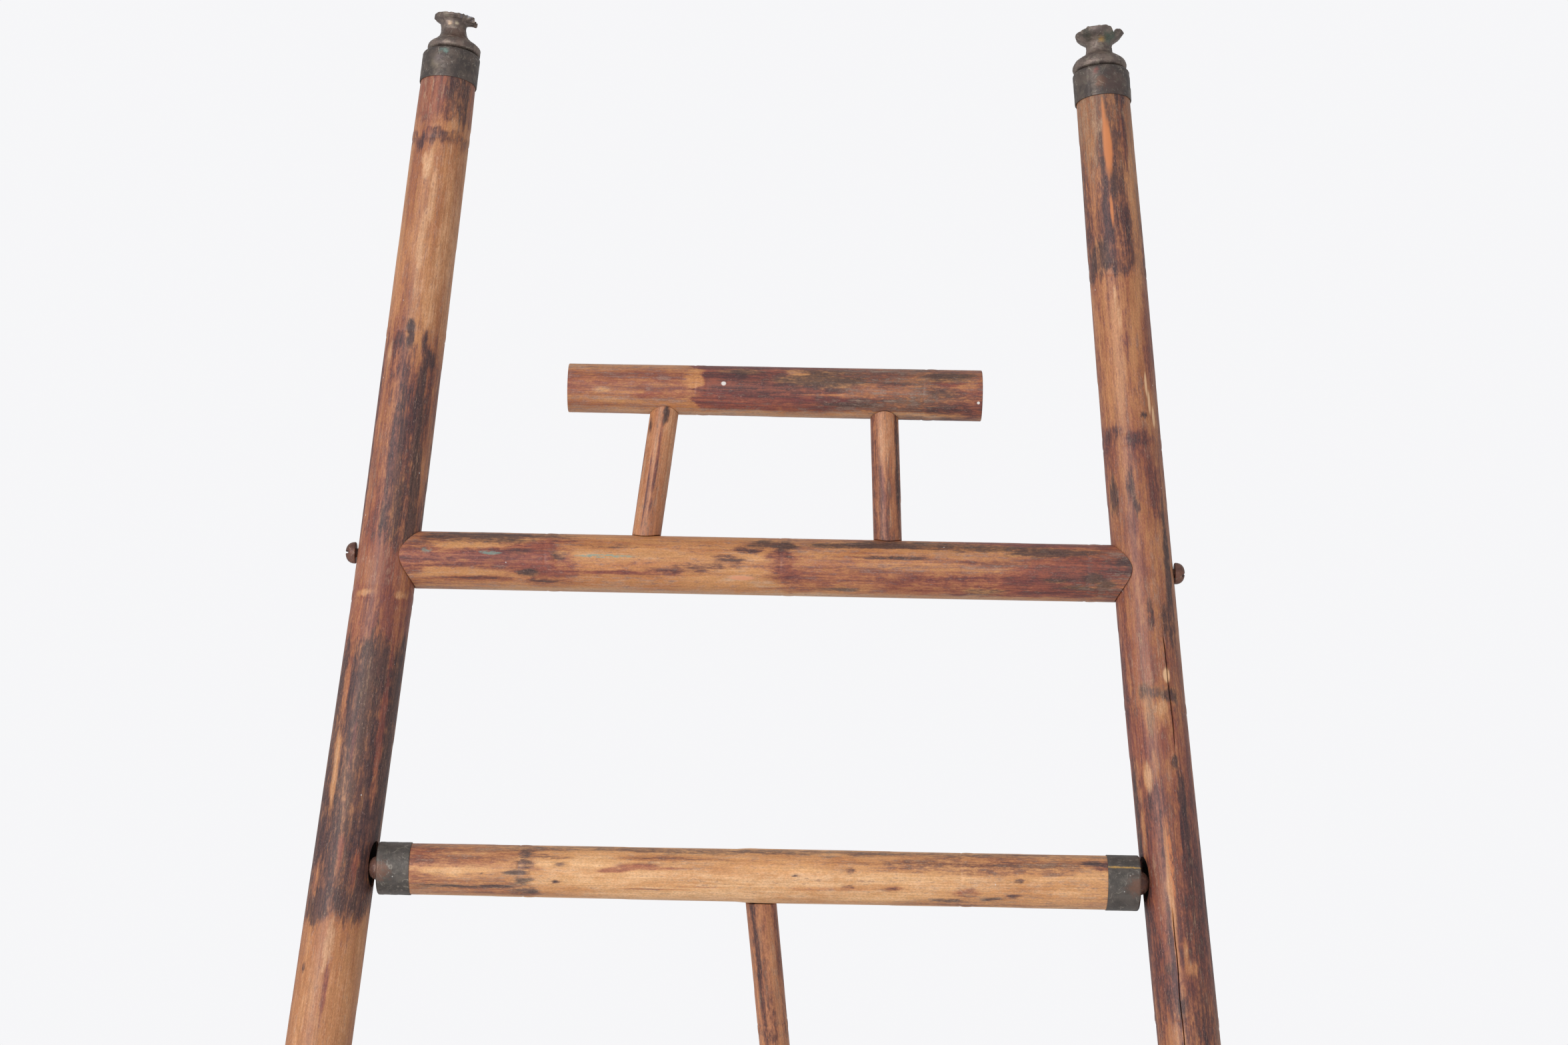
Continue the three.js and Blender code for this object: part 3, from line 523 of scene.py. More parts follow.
def wood_material(name, light, dark, seed, smoothest):
    """Plain turned or raw wood, streaked along the vertical."""
    s = Shader(name)
    place = s.node("ShaderNodeTexCoord").outputs["Object"]
    fibres = s.noise(place, (700, 700, 60), seed, 3.0, 0.6)
    patches = s.noise(place, (90, 90, 50), seed + 5, 3.0, 0.6)
    colour = s.blend(s.step(fibres, 0.35, 0.65), light, dark)
    colour = s.lay(colour, s.step(patches, 0.45, 0.7), 0.5, dark)
    roughness = s.math("MULTIPLY_ADD", fibres, 0.3, smoothest)
    return s.finish(colour, roughness, fibres, 0.00015)


BRASS_TONES = (rgb(104, 92, 85), rgb(82, 74, 71), rgb(112, 104, 93))
STUB_TONES = (rgb(134, 118, 109), rgb(104, 92, 87), rgb(142, 132, 118))
RUST_TONES = (rgb(122, 84, 70), rgb(96, 66, 58), rgb(138, 100, 82))
SCRATCH = rgb(168, 158, 148)
METAL_LINT = rgb(196, 190, 180)
BARE_BRASS = rgb(206, 164, 96)
VERDIGRIS = rgb(120, 160, 150)
# the brown of a patch on each bar ferrule's front, beside the pin
PIN_SIDE_BROWN = rgb(124, 88, 72)

# ----------------------------------------------------------------------------------------------
# Culms, measured from the CAD
# ----------------------------------------------------------------------------------------------
RING_GAP = 0.01 * MM  # points nearer than this along a culm belong to one ring
NODE_PEAK_OFFSET = 1 * MM  # a CAD node's widest ring is this far past the node
NODE_RISE = 0.3 * MM  # a node's ring is wider than its neighbours by more than this
ROUNDNESS = 0.03 * MM
WIDEST_GAP = 27  # degrees between the points of a full ring
SMALLEST_RADIUS = 4 * MM


def full_ring(points, axes):
    """Centre offset and radius of the round outer ring of a group of points, if it has one."""
    away = points - axes.origin
    flat = np.stack([away @ axes.front, away @ axes.side], 1)
    centre = (flat.max(0) + flat.min(0)) / 2
    spokes = flat - centre
    radius = np.hypot(*spokes.T).max()
    outer = spokes[np.hypot(*spokes.T) > radius - ROUNDNESS]
    angles = np.sort(np.degrees(np.arctan2(outer[:, 1], outer[:, 0])))
    gaps = np.diff(np.append(angles, angles[0] + 360))
    is_full = gaps.max() < WIDEST_GAP and radius > SMALLEST_RADIUS
    return (*centre, radius) if is_full else None


class Culm:
    """A culm's bent axis, its nodes, and its radii away from them."""

    def __init__(self, axes, centres, radii, nodes=()):
        self.axes = axes
        self.places, self.fronts, self.sides = centres
        self.plain_places, self.plain_radii = radii
        self.nodes = nodes

    def hold_ends(self, low, high):
        """Sets the radius at two end places, each given as (place, radius)."""
        self.plain_places = np.concatenate([[low[0]], self.plain_places, [high[0]]])
        self.plain_radii = np.concatenate([[low[1]], self.plain_radii, [high[1]]])

    def radius(self, along):
        return np.interp(along, self.plain_places, self.plain_radii)

    def centre(self, along):
        """Offset of the axis from the straight line through the origin."""
        front = line_through(along, self.places, self.fronts)
        side = line_through(along, self.places, self.sides)
        return np.multiply.outer(front, self.axes.front) + np.multiply.outer(side, self.axes.side)

    def point(self, along):
        return self.axes.origin + self.centre(along) + along * self.axes.along

    def direction(self, along):
        return unit(self.point(along + 5 * MM) - self.point(along - 5 * MM))


def measured_culm(node, axes):
    """The culm of a CAD node, from the rings of points that make up its mesh."""
    points = vertices_of(node)
    along = (points - axes.origin) @ axes.along
    order = np.argsort(along)
    groups = np.split(order, np.flatnonzero(np.diff(along[order]) > RING_GAP) + 1)
    found = [(along[group].mean(), full_ring(points[group], axes)) for group in groups]
    rings = np.array([(place, *ring) for place, ring in found if ring is not None])
    rings = rings[rings[:, 3] > 0.7 * rings[:, 3].max()]
    radii = rings[:, 3]
    wider = (radii[1:-1] > radii[:-2] + NODE_RISE) & (radii[1:-1] > radii[2:] + NODE_RISE)
    peaks = np.flatnonzero(wider) + 1
    plain = np.delete(rings, peaks, 0)
    return Culm(axes, rings.T[:3], (plain[:, 0], plain[:, 3]), rings[peaks, 0] - NODE_PEAK_OFFSET)


def meeting(start, direction, spokes, target_point, target_direction, radius, far):
    """Distance along a direction at which each line meets a round target's near or far side."""
    target_direction = unit(target_direction)
    flat = np.identity(3) - np.outer(target_direction, target_direction)
    run = flat @ direction
    away = (start + spokes - target_point) @ flat
    a = run @ run
    b = away @ run
    c = (away ** 2).sum(1) - radius ** 2
    root = np.sqrt(np.maximum(b * b - a * c, 0))
    return (-b + root if far else -b - root) / a


# ----------------------------------------------------------------------------------------------
# Culm surfaces
# ----------------------------------------------------------------------------------------------
COPE_GAP = 0.3 * MM
COPE_BLEND = 22 * MM  # how far in from a coped end the rings are bent towards it
FACE_RINGS = 4
FIRST_RING = 0.4 * MM  # radius of the innermost ring of an end without a bore
MIDWAY = 10 * MM  # radius at which an end's distance is looked up
EDGE = 0.35 * MM  # softened edge of a sawn end

End = namedtuple("End", "face bore depth")  # face(angle, radius) gives the distance along
Crack = namedtuple("Crack", "angle low high half_width depth")
CRACK_COLUMNS = (-3.2, -2.0, -1.2, -0.7, -0.35, 0.0, 0.35, 0.7, 1.2, 2.0, 3.2)
CRACK_CLEARANCE = 4.2  # no other columns within this angle of a crack


def columns_for(count, cracks):
    """Angles of a culm's columns: even, with narrow extra ones along each crack."""
    angles = even_angles(count)
    for crack in cracks:
        angles = angles[np.abs(wrapped(angles - crack.angle)) > CRACK_CLEARANCE]
        angles = np.append(angles, (crack.angle + np.array(CRACK_COLUMNS)) % 360.0)
    return np.sort(angles)


def crack_wander(along, crack):
    """How far a crack strays sideways, in degrees."""
    return 1.3 * np.sin(along / MM / 17.0 + crack.angle) + 0.6 * np.sin(along / MM / 5.3)


def relief(culm, along, angle, seed, bumps, cracks):
    """How far the surface stands out from a plain round culm. The numbers are in millimetres."""
    oval = 0.10 * np.sin(np.radians(2 * angle) + along * 7 + seed)
    swell = 0.24 * (culm_noise(angle, along, 7, 0.07, seed) - 0.5)
    ribs = 0.09 * (culm_noise(angle, along, 46, 0.16, seed + 1) - 0.5)
    rough = 0.05 * (culm_noise(angle, along, 60, 0.009, seed + 2) - 0.5)
    height = oval + swell + ribs + rough
    for number, node in enumerate(culm.nodes):
        turn = np.radians(angle) + seed + number
        place = (along - node) / MM - 1.1 * np.sin(turn) - 0.45 * np.sin(3 * turn)
        broken = 0.55 + 0.45 * culm_noise(angle, along * 0, 18, 1.0, seed + 31 + number)
        height = height + 0.15 * bell(place - 0.8, 2.6) - 0.26 * broken * bell(place + 2.2, 0.55)
        height = height - 0.10 * broken * bell(place - 4.4, 0.8)
    for place, turn, half_length, half_width, tall in bumps:
        reach = ((along / MM - place) / half_length) ** 2 + (wrapped(angle - turn) / half_width) ** 2
        height = height + tall * np.exp(-reach)
    for crack in cracks:
        span = smoothstep(crack.low, crack.low + 22, along / MM)
        span = span * smoothstep(crack.high, crack.high - 14, along / MM)
        away = wrapped(angle - crack.angle - crack_wander(along, crack))
        height = height - crack.depth * span * bell(away, crack.half_width)
    return height * MM


def stations_for(culm, low, high, spacing):
    """Places of the rings along a culm, closer together at its nodes."""
    even = np.linspace(low, high, int((high - low) / spacing) + 2)
    close = [np.arange(node - 5.5 * MM, node + 6.5 * MM, 0.6 * MM) for node in culm.nodes]
    places = np.sort(np.concatenate([even, *close]))
    places = places[(places >= low) & (places <= high)]
    keep = np.append(True, np.diff(places) > 0.25 * MM)
    places = places[keep]
    places[-1] = high
    return places


def end_rows(culm, columns, end, inwards):
    """Rows of points from the bottom of an end's bore, or its middle, out to its rim."""
    axes = culm.axes
    innermost = end.bore or FIRST_RING
    mouth = end.face(columns, innermost)
    middle = culm.centre(np.mean(mouth))
    if end.bore:
        bottom = np.mean(mouth) + inwards * end.depth
        rows = [[axes.origin + middle + bottom * axes.along]]
        rows += [ring(axes, middle, end.bore, place, columns) for place in (bottom, mouth)]
    else:
        rows = [[axes.origin + middle + np.mean(mouth) * axes.along]]
    outer = culm.radius(np.mean(mouth)) - EDGE
    for radius in np.linspace(innermost, outer, FACE_RINGS + 1)[1:]:
        face = end.face(columns, radius)
        rows.append(ring(axes, culm.centre(face), radius, face, columns))
    return rows


def rim_places(culm, columns, end):
    """Distance of each column's end along a culm."""
    return end.face(columns, culm.radius(np.mean(end.face(columns, MIDWAY))))


def culm_piece(name, culm, low_end, high_end, count, spacing, seed, bumps=(), cracks=()):
    """A culm as a closed mesh, with its sawn or coped ends and the hollows in them."""
    columns = columns_for(count, cracks)
    low_face = rim_places(culm, columns, low_end) + EDGE
    high_face = rim_places(culm, columns, high_end) - EDGE
    low, high = low_face.max(), high_face.min()
    body = []
    for station in stations_for(culm, low, high, spacing):
        along = station + (low_face - low) * smoothstep(COPE_BLEND, 0, station - low)
        along = along + (high_face - high) * smoothstep(COPE_BLEND, 0, high - station)
        angle = columns
        for crack in cracks:
            near = smoothstep(26, 5, np.abs(wrapped(columns - crack.angle)))
            angle = angle + near * crack_wander(along, crack)
        radius = culm.radius(along) + relief(culm, along, angle, seed, bumps, cracks)
        body.append(ring(culm.axes, culm.centre(along), radius, along, angle))
    low_rows = end_rows(culm, columns, low_end, 1)
    high_rows = end_rows(culm, columns, high_end, -1)
    return skin(name, [*low_rows, *body, *reversed(high_rows)])


def stain_levels(along, angle, zones, marks, seed):
    """Stain levels at places on a culm. Zones go all round it, marks are single patches."""
    place = along / MM
    ragged = culm_noise(angle, along, 34, 0.04, seed + 3) - 0.5
    ragged = ragged + 0.6 * (culm_noise(angle, along, 13, 0.09, seed + 4) - 0.5)
    drift = culm_noise(angle, along, 9, 0.12, seed + 5) - 0.5
    zones = np.array(zones, float)
    levels = [np.interp(place + 11 * ragged, zones[:, 0], column) for column in zones.T[1:]]
    levels[0] = levels[0] + 0.45 * drift * (levels[0] > 0.12)
    levels[1] = levels[1] + 0.5 * drift
    levels[2] = levels[2] - 0.5 * drift
    edge = 0.7 * (culm_noise(angle, along, 52, 0.007, seed + 6) - 0.5) + 0.6 * ragged
    for centre, turn, half_length, half_width, *target in marks:
        reach = np.hypot((place - centre) / half_length, wrapped(angle - turn) / half_width)
        share = smoothstep(1.45, 0.4, reach + edge)
        levels = [level + (aim - level) * share for level, aim in zip(levels, target)]
    return np.stack(levels, 1)


def paint(piece, culm, zones, marks, seed, open_ends=False):
    """Stores where each point lies in the grain, how it is stained, and the painted shade that its depth below the
    surface gives.
    """
    points = vertex_places(piece)
    axes = culm.axes
    along = (points - axes.origin) @ axes.along
    spokes = points - axes.origin - culm.centre(along) - np.outer(along, axes.along)
    front, side = spokes @ axes.front, spokes @ axes.side
    angle = np.degrees(np.arctan2(side, front))
    depth = culm.radius(along) - np.hypot(front, side)
    # painted shade: the deeper a point lies below the round surface, the darker it is painted
    cavity_shade = smoothstep(0.22 * MM, 1.5 * MM, depth)
    # near an end that is open to view the painted shade fades out
    if open_ends:
        from_end = np.minimum(along - along.min(), along.max() - along)
        cavity_shade = cavity_shade * smoothstep(0.5 * MM, 4 * MM, from_end)
    mesh = piece.data
    set_attribute(mesh, "grain", "FLOAT_VECTOR", np.stack([side, front, along], 1))
    set_attribute(mesh, "stain", "FLOAT_VECTOR", stain_levels(along, angle, zones, marks, seed))
    set_attribute(mesh, "cavity_shade", "FLOAT", cavity_shade)


# ----------------------------------------------------------------------------------------------
# Posts
# ----------------------------------------------------------------------------------------------
POST_COLUMNS = {"left": 96, "right": 84}
POST_SPACING = 2.6 * MM
POST_BORE = 8 * MM
POST_TOP_GAP = 3.4 * MM  # the bamboo stops this far below the collar's top
PLUG_REACH = 44 * MM
SCREW_HOLE = 2.8 * MM
PEG_HOLE = 5.0 * MM
FOOT_INSET = 1.75 * MM  # the bamboo's surface is this far inside the foot ferrule's
COLLAR_INSET = 1.05 * MM

# (height, scorch, red, pale) all round each post
POST_ZONES = {
    "left": [
        (0, 0.5, 0.6, 0), (60, 0.35, 0.5, 0), (120, 0.1, 0.25, 0.25), (240, 0.1, 0.3, 0.2),
        (258, 0.5, 0.5, 0), (272, 0.15, 0.35, 0.2), (400, 0.05, 0.2, 0.3), (425, 0.55, 0.6, 0),
        (500, 0.6, 0.5, 0), (560, 0.3, 0.5, 0.1), (594, 0.5, 0.5, 0), (606, 0.1, 0.3, 0.3),
        (740, 0.04, 0.2, 0.3), (756, 0.6, 0.5, 0), (830, 0.7, 0.5, 0), (870, 0.3, 0.45, 0.1),
        (908, 0.4, 0.5, 0), (918, 0.05, 0.3, 0.1), (1019, 0.0, 0.24, 0.08), (1027, 0.66, 0.5, 0),
        (1078, 0.74, 0.5, 0), (1160, 0.66, 0.45, 0), (1172, 0.5, 0.4, 0), (1180, 0.0, 0.55, 0.1),
        (1196, 0.0, 0.55, 0.22), (1200, 0.1, 0.7, 0.1), (1206, 0.0, 0.52, 0.22), (1224, 0.05, 0.62, 0.1),
        (1240, 0.62, 0.6, 0), (1300, 0.46, 0.6, 0), (1328, 0.36, 0.62, 0), (1344, 0.12, 0.36, 0.1),
        (1356, 0.0, 0.26, 0.22), (1400, 0.0, 0.2, 0.28), (1455, 0.0, 0.24, 0.26),
        (1459, 0.56, 0.55, 0), (1465, 0.56, 0.55, 0), (1467, 0.05, 0.3, 0.2), (1472, 0.05, 0.3, 0.2),
        (1475, 0.5, 0.6, 0), (1480, 0.3, 0.75, 0.1), (1520, 0.34, 0.8, 0.15),
    ],
    "right": [
        (0, 0.55, 0.6, 0), (56, 0.5, 0.6, 0), (66, 0.15, 0.4, 0.2), (200, 0.1, 0.35, 0.2),
        (211, 0.6, 0.6, 0), (260, 0.5, 0.6, 0), (330, 0.2, 0.5, 0.1), (371, 0.5, 0.6, 0),
        (381, 0.1, 0.35, 0.2), (520, 0.15, 0.45, 0.1), (526, 0.6, 0.6, 0), (600, 0.5, 0.7, 0),
        (676, 0.55, 0.7, 0), (686, 0.1, 0.4, 0.2), (820, 0.2, 0.5, 0.1), (828, 0.6, 0.6, 0),
        (870, 0.45, 0.7, 0), (974, 0.46, 0.68, 0.03), (978, 0.5, 0.7, 0), (992, 0.48, 0.7, 0),
        (996, 0.44, 0.8, 0.02), (1040, 0.52, 0.88, 0), (1100, 0.38, 0.84, 0), (1112, 0.15, 0.7, 0.1),
        (1135, 0.05, 0.7, 0.08), (1145, 0.26, 0.6, 0.1), (1158, 0.22, 0.6, 0.05), (1184, 0.22, 0.7, 0.04),
        (1192, 0.22, 0.7, 0), (1204, 0.2, 0.7, 0), (1212, 0.1, 0.64, 0.08), (1246, 0.1, 0.6, 0.08),
        (1270, 0.12, 0.6, 0.05), (1288, 0.25, 0.7, 0), (1297, 0.4, 0.7, 0), (1303, 0.05, 0.4, 0.0),
        (1340, 0.08, 0.32, 0.0), (1387, 0.08, 0.34, 0.0), (1391, 0.58, 0.5, 0), (1402, 0.42, 0.6, 0),
        (1440, 0.42, 0.45, 0.1), (1480, 0.44, 0.2, 0.34), (1520, 0.46, 0.15, 0.4),
    ],
}

# (height, angle, half length, half width, scorch, red, pale) of single patches
POST_MARKS = {
    "left": [
        (1496, 8, 6, 12, 0.7, 0.6, 0), (1490, 28, 16, 26, 0.8, 0.6, 0), (1484, 52, 18, 15, 0.78, 0.4, 0),
        (1490, -34, 22, 34, 0.16, 0.95, 0.36),
        (1446, -14, 7, 13, 0, 0, 0.85), (1425, 4, 16, 7, 0, 0.1, 0.7), (1395, -6, 22, 6, 0, 0.05, 0.62),
        (1350, -4, 4.6, 10, 1.4, 0.4, 0), (1343, -2, 4.6, 9, 1.5, 0.4, 0), (1343, -26, 5, 13, 0.75, 1.0, 0),
        (1340, 27, 8, 7, 1.0, 0.8, 0), (1333, 36, 6, 9, 0.9, 0.8, 0), (1332, 46, 6, 9, 1.1, 0.4, 0),
        (1333, -46, 8, 9, 0, 0, 0.8), (1318, -54, 6, 13, 0.95, 0.6, 0),
        (1302, -40, 34, 22, 0.08, 0.6, 0.14), (1256, -36, 28, 26, 0.14, 0.7, 0.1),
        (1284, 20, 56, 34, 0.62, 0.8, 0), (1236, 26, 24, 40, 0.6, 0.7, 0), (1232, -20, 18, 16, 0.4, 1, 0),
        (1316, 30, 16, 9, 1, 0.4, 0), (1290, 36, 22, 8, 1, 0.3, 0), (1262, 44, 22, 11, 1, 0.2, 0),
        (1240, 48, 13, 14, 1, 0.1, 0), (1305, -2, 12, 5, 0.75, 0.6, 0), (1280, 6, 22, 7, 0.85, 0.4, 0),
        (1250, 14, 22, 8, 0.9, 0.3, 0), (1240, -12, 10, 6, 0.8, 0.3, 0), (1268, 66, 40, 9, 0, 0.5, 0.25),
        (1200, -30, 2, 20, 0, 0.2, 0.4), (1199, 44, 2.4, 17, 0, 0.2, 0.4), (1214, 0, 11, 50, 0, 0.8, 0.3),
        (1140, 1, 46, 17, 0.95, 0.2, 0.1), (1160, 32, 16, 10, 1, 0.1, 0), (1128, 42, 52, 8, 0.05, 0.9, 0.1),
        (1120, 64, 60, 9, 0.95, 0.2, 0), (1148, -40, 26, 7, 0.1, 0.6, 0.1), (1104, -38, 22, 7, 0, 0.2, 0.6),
        (1140, -58, 34, 9, 0.75, 0.6, 0), (1118, -7, 20, 4, 0.3, 1, 0), (1086, 24, 26, 7, 0.9, 0.3, 0),
        (1060, -2, 10, 7, 0.1, 0.95, 0.1), (1050, 28, 14, 8, 0.15, 0.8, 0.2), (1040, 46, 15, 12, 1, 0.3, 0),
        (1033, 18, 6, 17, 1, 0.3, 0), (1029, -30, 9, 15, 0.95, 0.4, 0), (1044, -48, 9, 7, 0.1, 0.6, 0.1),
        (1009, 2, 11, 8, 0, 0, 0.85), (985, 5, 19, 4.5, 0.1, 0.85, 0), (998, -44, 2, 4, 0.9, 0.4, 0),
    ],
    "right": [
        (1494, 29, 5, 13, 0.95, 0.3, 0), (1467, 10, 8, 9, 0.95, 0.4, 0),
        (1444, 6, 10, 10, 0.9, 0.2, 0), (1424, 18, 26, 11, 0.75, 0.8, 0), (1470, 32, 22, 8, 0.5, 0.7, 0),
        (1440, -44, 26, 22, 0.3, 0.5, 0.25), (1478, -40, 26, 34, 0.52, 0.1, 0.45),
        (1340, 60, 46, 14, 0.2, 0.7, 0.1), (1340, 44, 40, 12, 0.1, 0.6, 0.05),
        (1400, -38, 9, 12, 0.95, 0.2, 0), (1398, -60, 9, 9, 0.95, 0.2, 0),
        (1376, -16, 7, 3, 0, 0.1, 0.6), (1362, -10, 9, 4, 0, 0.1, 0.5), (1336, -8, 8, 4, 0, 0.1, 0.5),
        (1352, -3, 14, 5, 0.2, 0.75, 0),
        (1308, 22, 1.2, 7, 1, 0.3, 0), (1298, -42, 5, 20, 0.6, 0.8, 0), (1294, 4, 5, 26, 0.55, 0.8, 0),
        (1256, -8, 5.5, 6, 1, 0.3, 0), (1270, -20, 8, 9, 0.6, 0.7, 0), (1264, -60, 10, 11, 0.9, 0.3, 0),
        (1270, 32, 22, 12, 0.4, 0.8, 0), (1220, 50, 32, 9, 0.9, 0.3, 0), (1195, 2, 9, 10, 0.85, 0.7, 0),
        (1192, 34, 12, 14, 0.7, 0.5, 0), (1168, -16, 24, 34, 0.1, 0.8, 0.25),
        (1230, -10, 20, 30, 0.05, 0.6, 0.1), (1163, 22, 4.5, 5, 0, 0, 1),
        (1153, -6, 4, 26, 0.85, 0.1, 0.2), (1152, 22, 4.2, 18, 0.95, 0.1, 0), (1145, 2, 5, 15, 0.1, 0.1, 0.6),
        (1140, -18, 10, 9, 0.5, 0.2, 0.3), (1126, 2, 10, 16, 0.15, 0.95, 0), (1108, -34, 8, 9, 0, 0, 0.9),
        (1114, -16, 8, 8, 0, 0.1, 0.4), (1116, 20, 3.4, 7, 1, 0.2, 0), (1090, 30, 24, 10, 0.95, 0.6, 0),
        (1050, 32, 34, 13, 0.85, 0.85, 0), (1100, -74, 20, 11, 0.85, 0.6, 0), (1078, -58, 30, 7, 0, 0.3, 0.2),
        (1050, -38, 36, 14, 0, 0.7, 0.25), (1060, -14, 34, 5, 0, 0.15, 0.2), (1026, -12, 28, 4, 0, 0.1, 0.2),
        (1034, 20, 40, 18, 0.62, 0.95, 0), (1014, 4, 6, 4, 0, 0, 0.6), (1006, 8, 5, 11, 0, 0.1, 0.3),
        (1006, -30, 3, 9, 0.9, 0.2, 0), (985, -16, 6, 9, 0.85, 0.5, 0), (966, 12, 8, 8, 0, 0, 0.5),
        (970, -36, 12, 16, 0.1, 0.45, 0.3), (970, 30, 20, 22, 0.6, 0.7, 0),
    ],
}
ORANGE = rgb(208, 128, 76)
BRICK = rgb(158, 70, 52)
CHIPPED = rgb(226, 182, 140)

# (height, side, front, half length, half width, colour, strength) of single spots and streaks
POST_DROPS = {
    "left": [(1009, 1, 18, 1.2, 0.5, LINT, 0.9), (1441, -4.5, 16.6, 6, 2.6, CHIPPED, 0.5)],
    "right": [
        (1464, -1.7, 16.4, 18, 2.9, ORANGE, 0.93), (1482, -2.6, 16.4, 16, 1.5, ORANGE, 0.93),
        (1426, -2.3, 16.4, 12, 1.2, ORANGE, 0.9), (1488, -3.8, 16.2, 15, 1.0, BRICK, 0.85),
        (1326, 8.8, 13.8, 7, 0.9, CHIPPED, 0.95), (1316, 9.9, 13.0, 7, 1.0, CHIPPED, 0.95),
        (1308, 11.8, 11.3, 6, 1.2, CHIPPED, 0.95), (1467, 2.9, 16.3, 1.0, 0.8, LINT, 1),
        (1062, -2.2, 16.6, 22, 1.6, ORANGE, 0.75), (1163, 5.6, 15.6, 4, 2.0, CHIPPED, 0.9),
    ],
}
POST_CRACKS = {
    "left": [],
    "right": [Crack(23.0, 1117, 1189, 1.0, 2.6), Crack(-15.0, 850, 1040, 0.55, 1.5)],
}

# (height, angle, half length, half width, rise) of scars and swellings
POST_BUMPS = {
    "left": [(1347, -3, 3.4, 7, -0.35), (1333, -46, 5, 6, 0.15)],
    "right": [(1153, 8, 4, 30, 0.45), (1146, 0, 4, 16, -0.35), (1163, 22, 5, 6, 0.35),
              (1107, -18, 3, 5, 0.3), (1467, 10, 3, 4, -0.3)],
}

# the hollow round a pivot pin's dome: its middle past the ferrule and above the axis, its semi-axes
SOCKET_PAST_FERRULE = 1.9 * MM
SOCKET_RAISE = 1.5 * MM
SOCKET_SEMI_AXES = (4.3 * MM, 6.8 * MM, 12.9 * MM)
DRILL_REACH = 60 * MM
FLOOR_CLEARANCE = 0.03 * MM


def floor_face(culm):
    """The sawn foot of a culm, level with the floor."""
    start = culm.point(0.0)[2]
    rise = (culm.point(0.1)[2] - start) / 0.1

    def face(angle, radius):
        return (FLOOR_CLEARANCE - start - spokes_of(culm.axes, radius, angle)[:, 2]) / rise
    return face


def flat_face(place):
    """A sawn end square to the culm."""
    return lambda angle, radius: np.full(angle.shape, place)


def node_span(node, axes):
    """Lowest and highest distance of a CAD node along an axis."""
    along = (vertices_of(node) - axes.origin) @ axes.along
    return along.min(), along.max()


def node_middle(node):
    low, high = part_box(node)
    return np.array((low + high) / 2)


def turned_axes(node, along):
    """A turned CAD piece's axes, from the middle of its near end, its length and its radius."""
    axes = axes_along(np.zeros(3), along)
    points = vertices_of(node)
    flat = np.stack([points @ axes.front, points @ axes.side], 1)
    middle = (flat.max(0) + flat.min(0)) / 2
    distances = points @ axes.along
    low, high = distances.min(), distances.max()
    origin = middle[0] * axes.front + middle[1] * axes.side + low * axes.along
    radius = np.hypot(*(flat - middle).T).max()
    return axes._replace(origin=origin), high - low, radius


def post_cutters(side):
    """Holes for the rails' screws and the peg, and the hollow round the pivot pin."""
    cutters = []
    for rail in ("upper_rail", "lower_rail"):
        screw = node_middle(f"{rail}_{side}_screw")
        cutters.append(drill(screw - DRILL_REACH * RIGHT, screw + DRILL_REACH * RIGHT, SCREW_HOLE))
    peg, _, _ = turned_axes(f"{side}_picture_peg", FRONT)
    tail = peg.origin - 1 * MM * FRONT
    cutters.append(drill(tail, tail + DRILL_REACH * FRONT, PEG_HOLE))
    ferrule_low, ferrule_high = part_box(f"pivot_{side}_ferrule")
    ferrule_end = max(abs(ferrule_low.x - PIVOT[0]), abs(ferrule_high.x - PIVOT[0]))
    centre = PIVOT + SIDES[side] * (ferrule_end + SOCKET_PAST_FERRULE) * RIGHT + SOCKET_RAISE * UP
    return [*cutters, scoop(centre, SOCKET_SEMI_AXES)]


def make_post(side):
    node = f"{side}_post"
    culm = measured_culm(node, UPRIGHT)
    _, top = node_span(f"{side}_post_collar", UPRIGHT)
    _, _, collar_radius = turned_axes(f"{side}_post_collar", culm.direction(top))
    _, _, foot_radius = turned_axes(f"{side}_foot_ferrule", culm.direction(0.0))
    culm.hold_ends((0.0, foot_radius - FOOT_INSET), (top, collar_radius - COLLAR_INSET))
    low_end = End(floor_face(culm), 0, 0)
    high_end = End(flat_face(top - POST_TOP_GAP), POST_BORE, PLUG_REACH)
    seed = 100 + 10 * SIDES[side]
    post = culm_piece(f"{side}_post_bamboo", culm, low_end, high_end, POST_COLUMNS[side], POST_SPACING,
                      seed, POST_BUMPS[side], POST_CRACKS[side])
    cut(post, *post_cutters(side))
    paint(post, culm, POST_ZONES[side], POST_MARKS[side], seed)
    material = bamboo_material(f"{side}_post_bamboo", POST_TONES, 3.0 + SIDES[side], POST_DROPS[side])
    finish(post, "front_frame", node, material)
    return culm


# ----------------------------------------------------------------------------------------------
# Rails and crest bar
# ----------------------------------------------------------------------------------------------
LYING_COLUMNS = 96
LYING_SPACING = 2.4 * MM
RAIL_BORE = 8 * MM
RAIL_BORE_DEPTH = 46 * MM
CREST_BORE = 6.5 * MM
CREST_BORE_DEPTH = 26 * MM

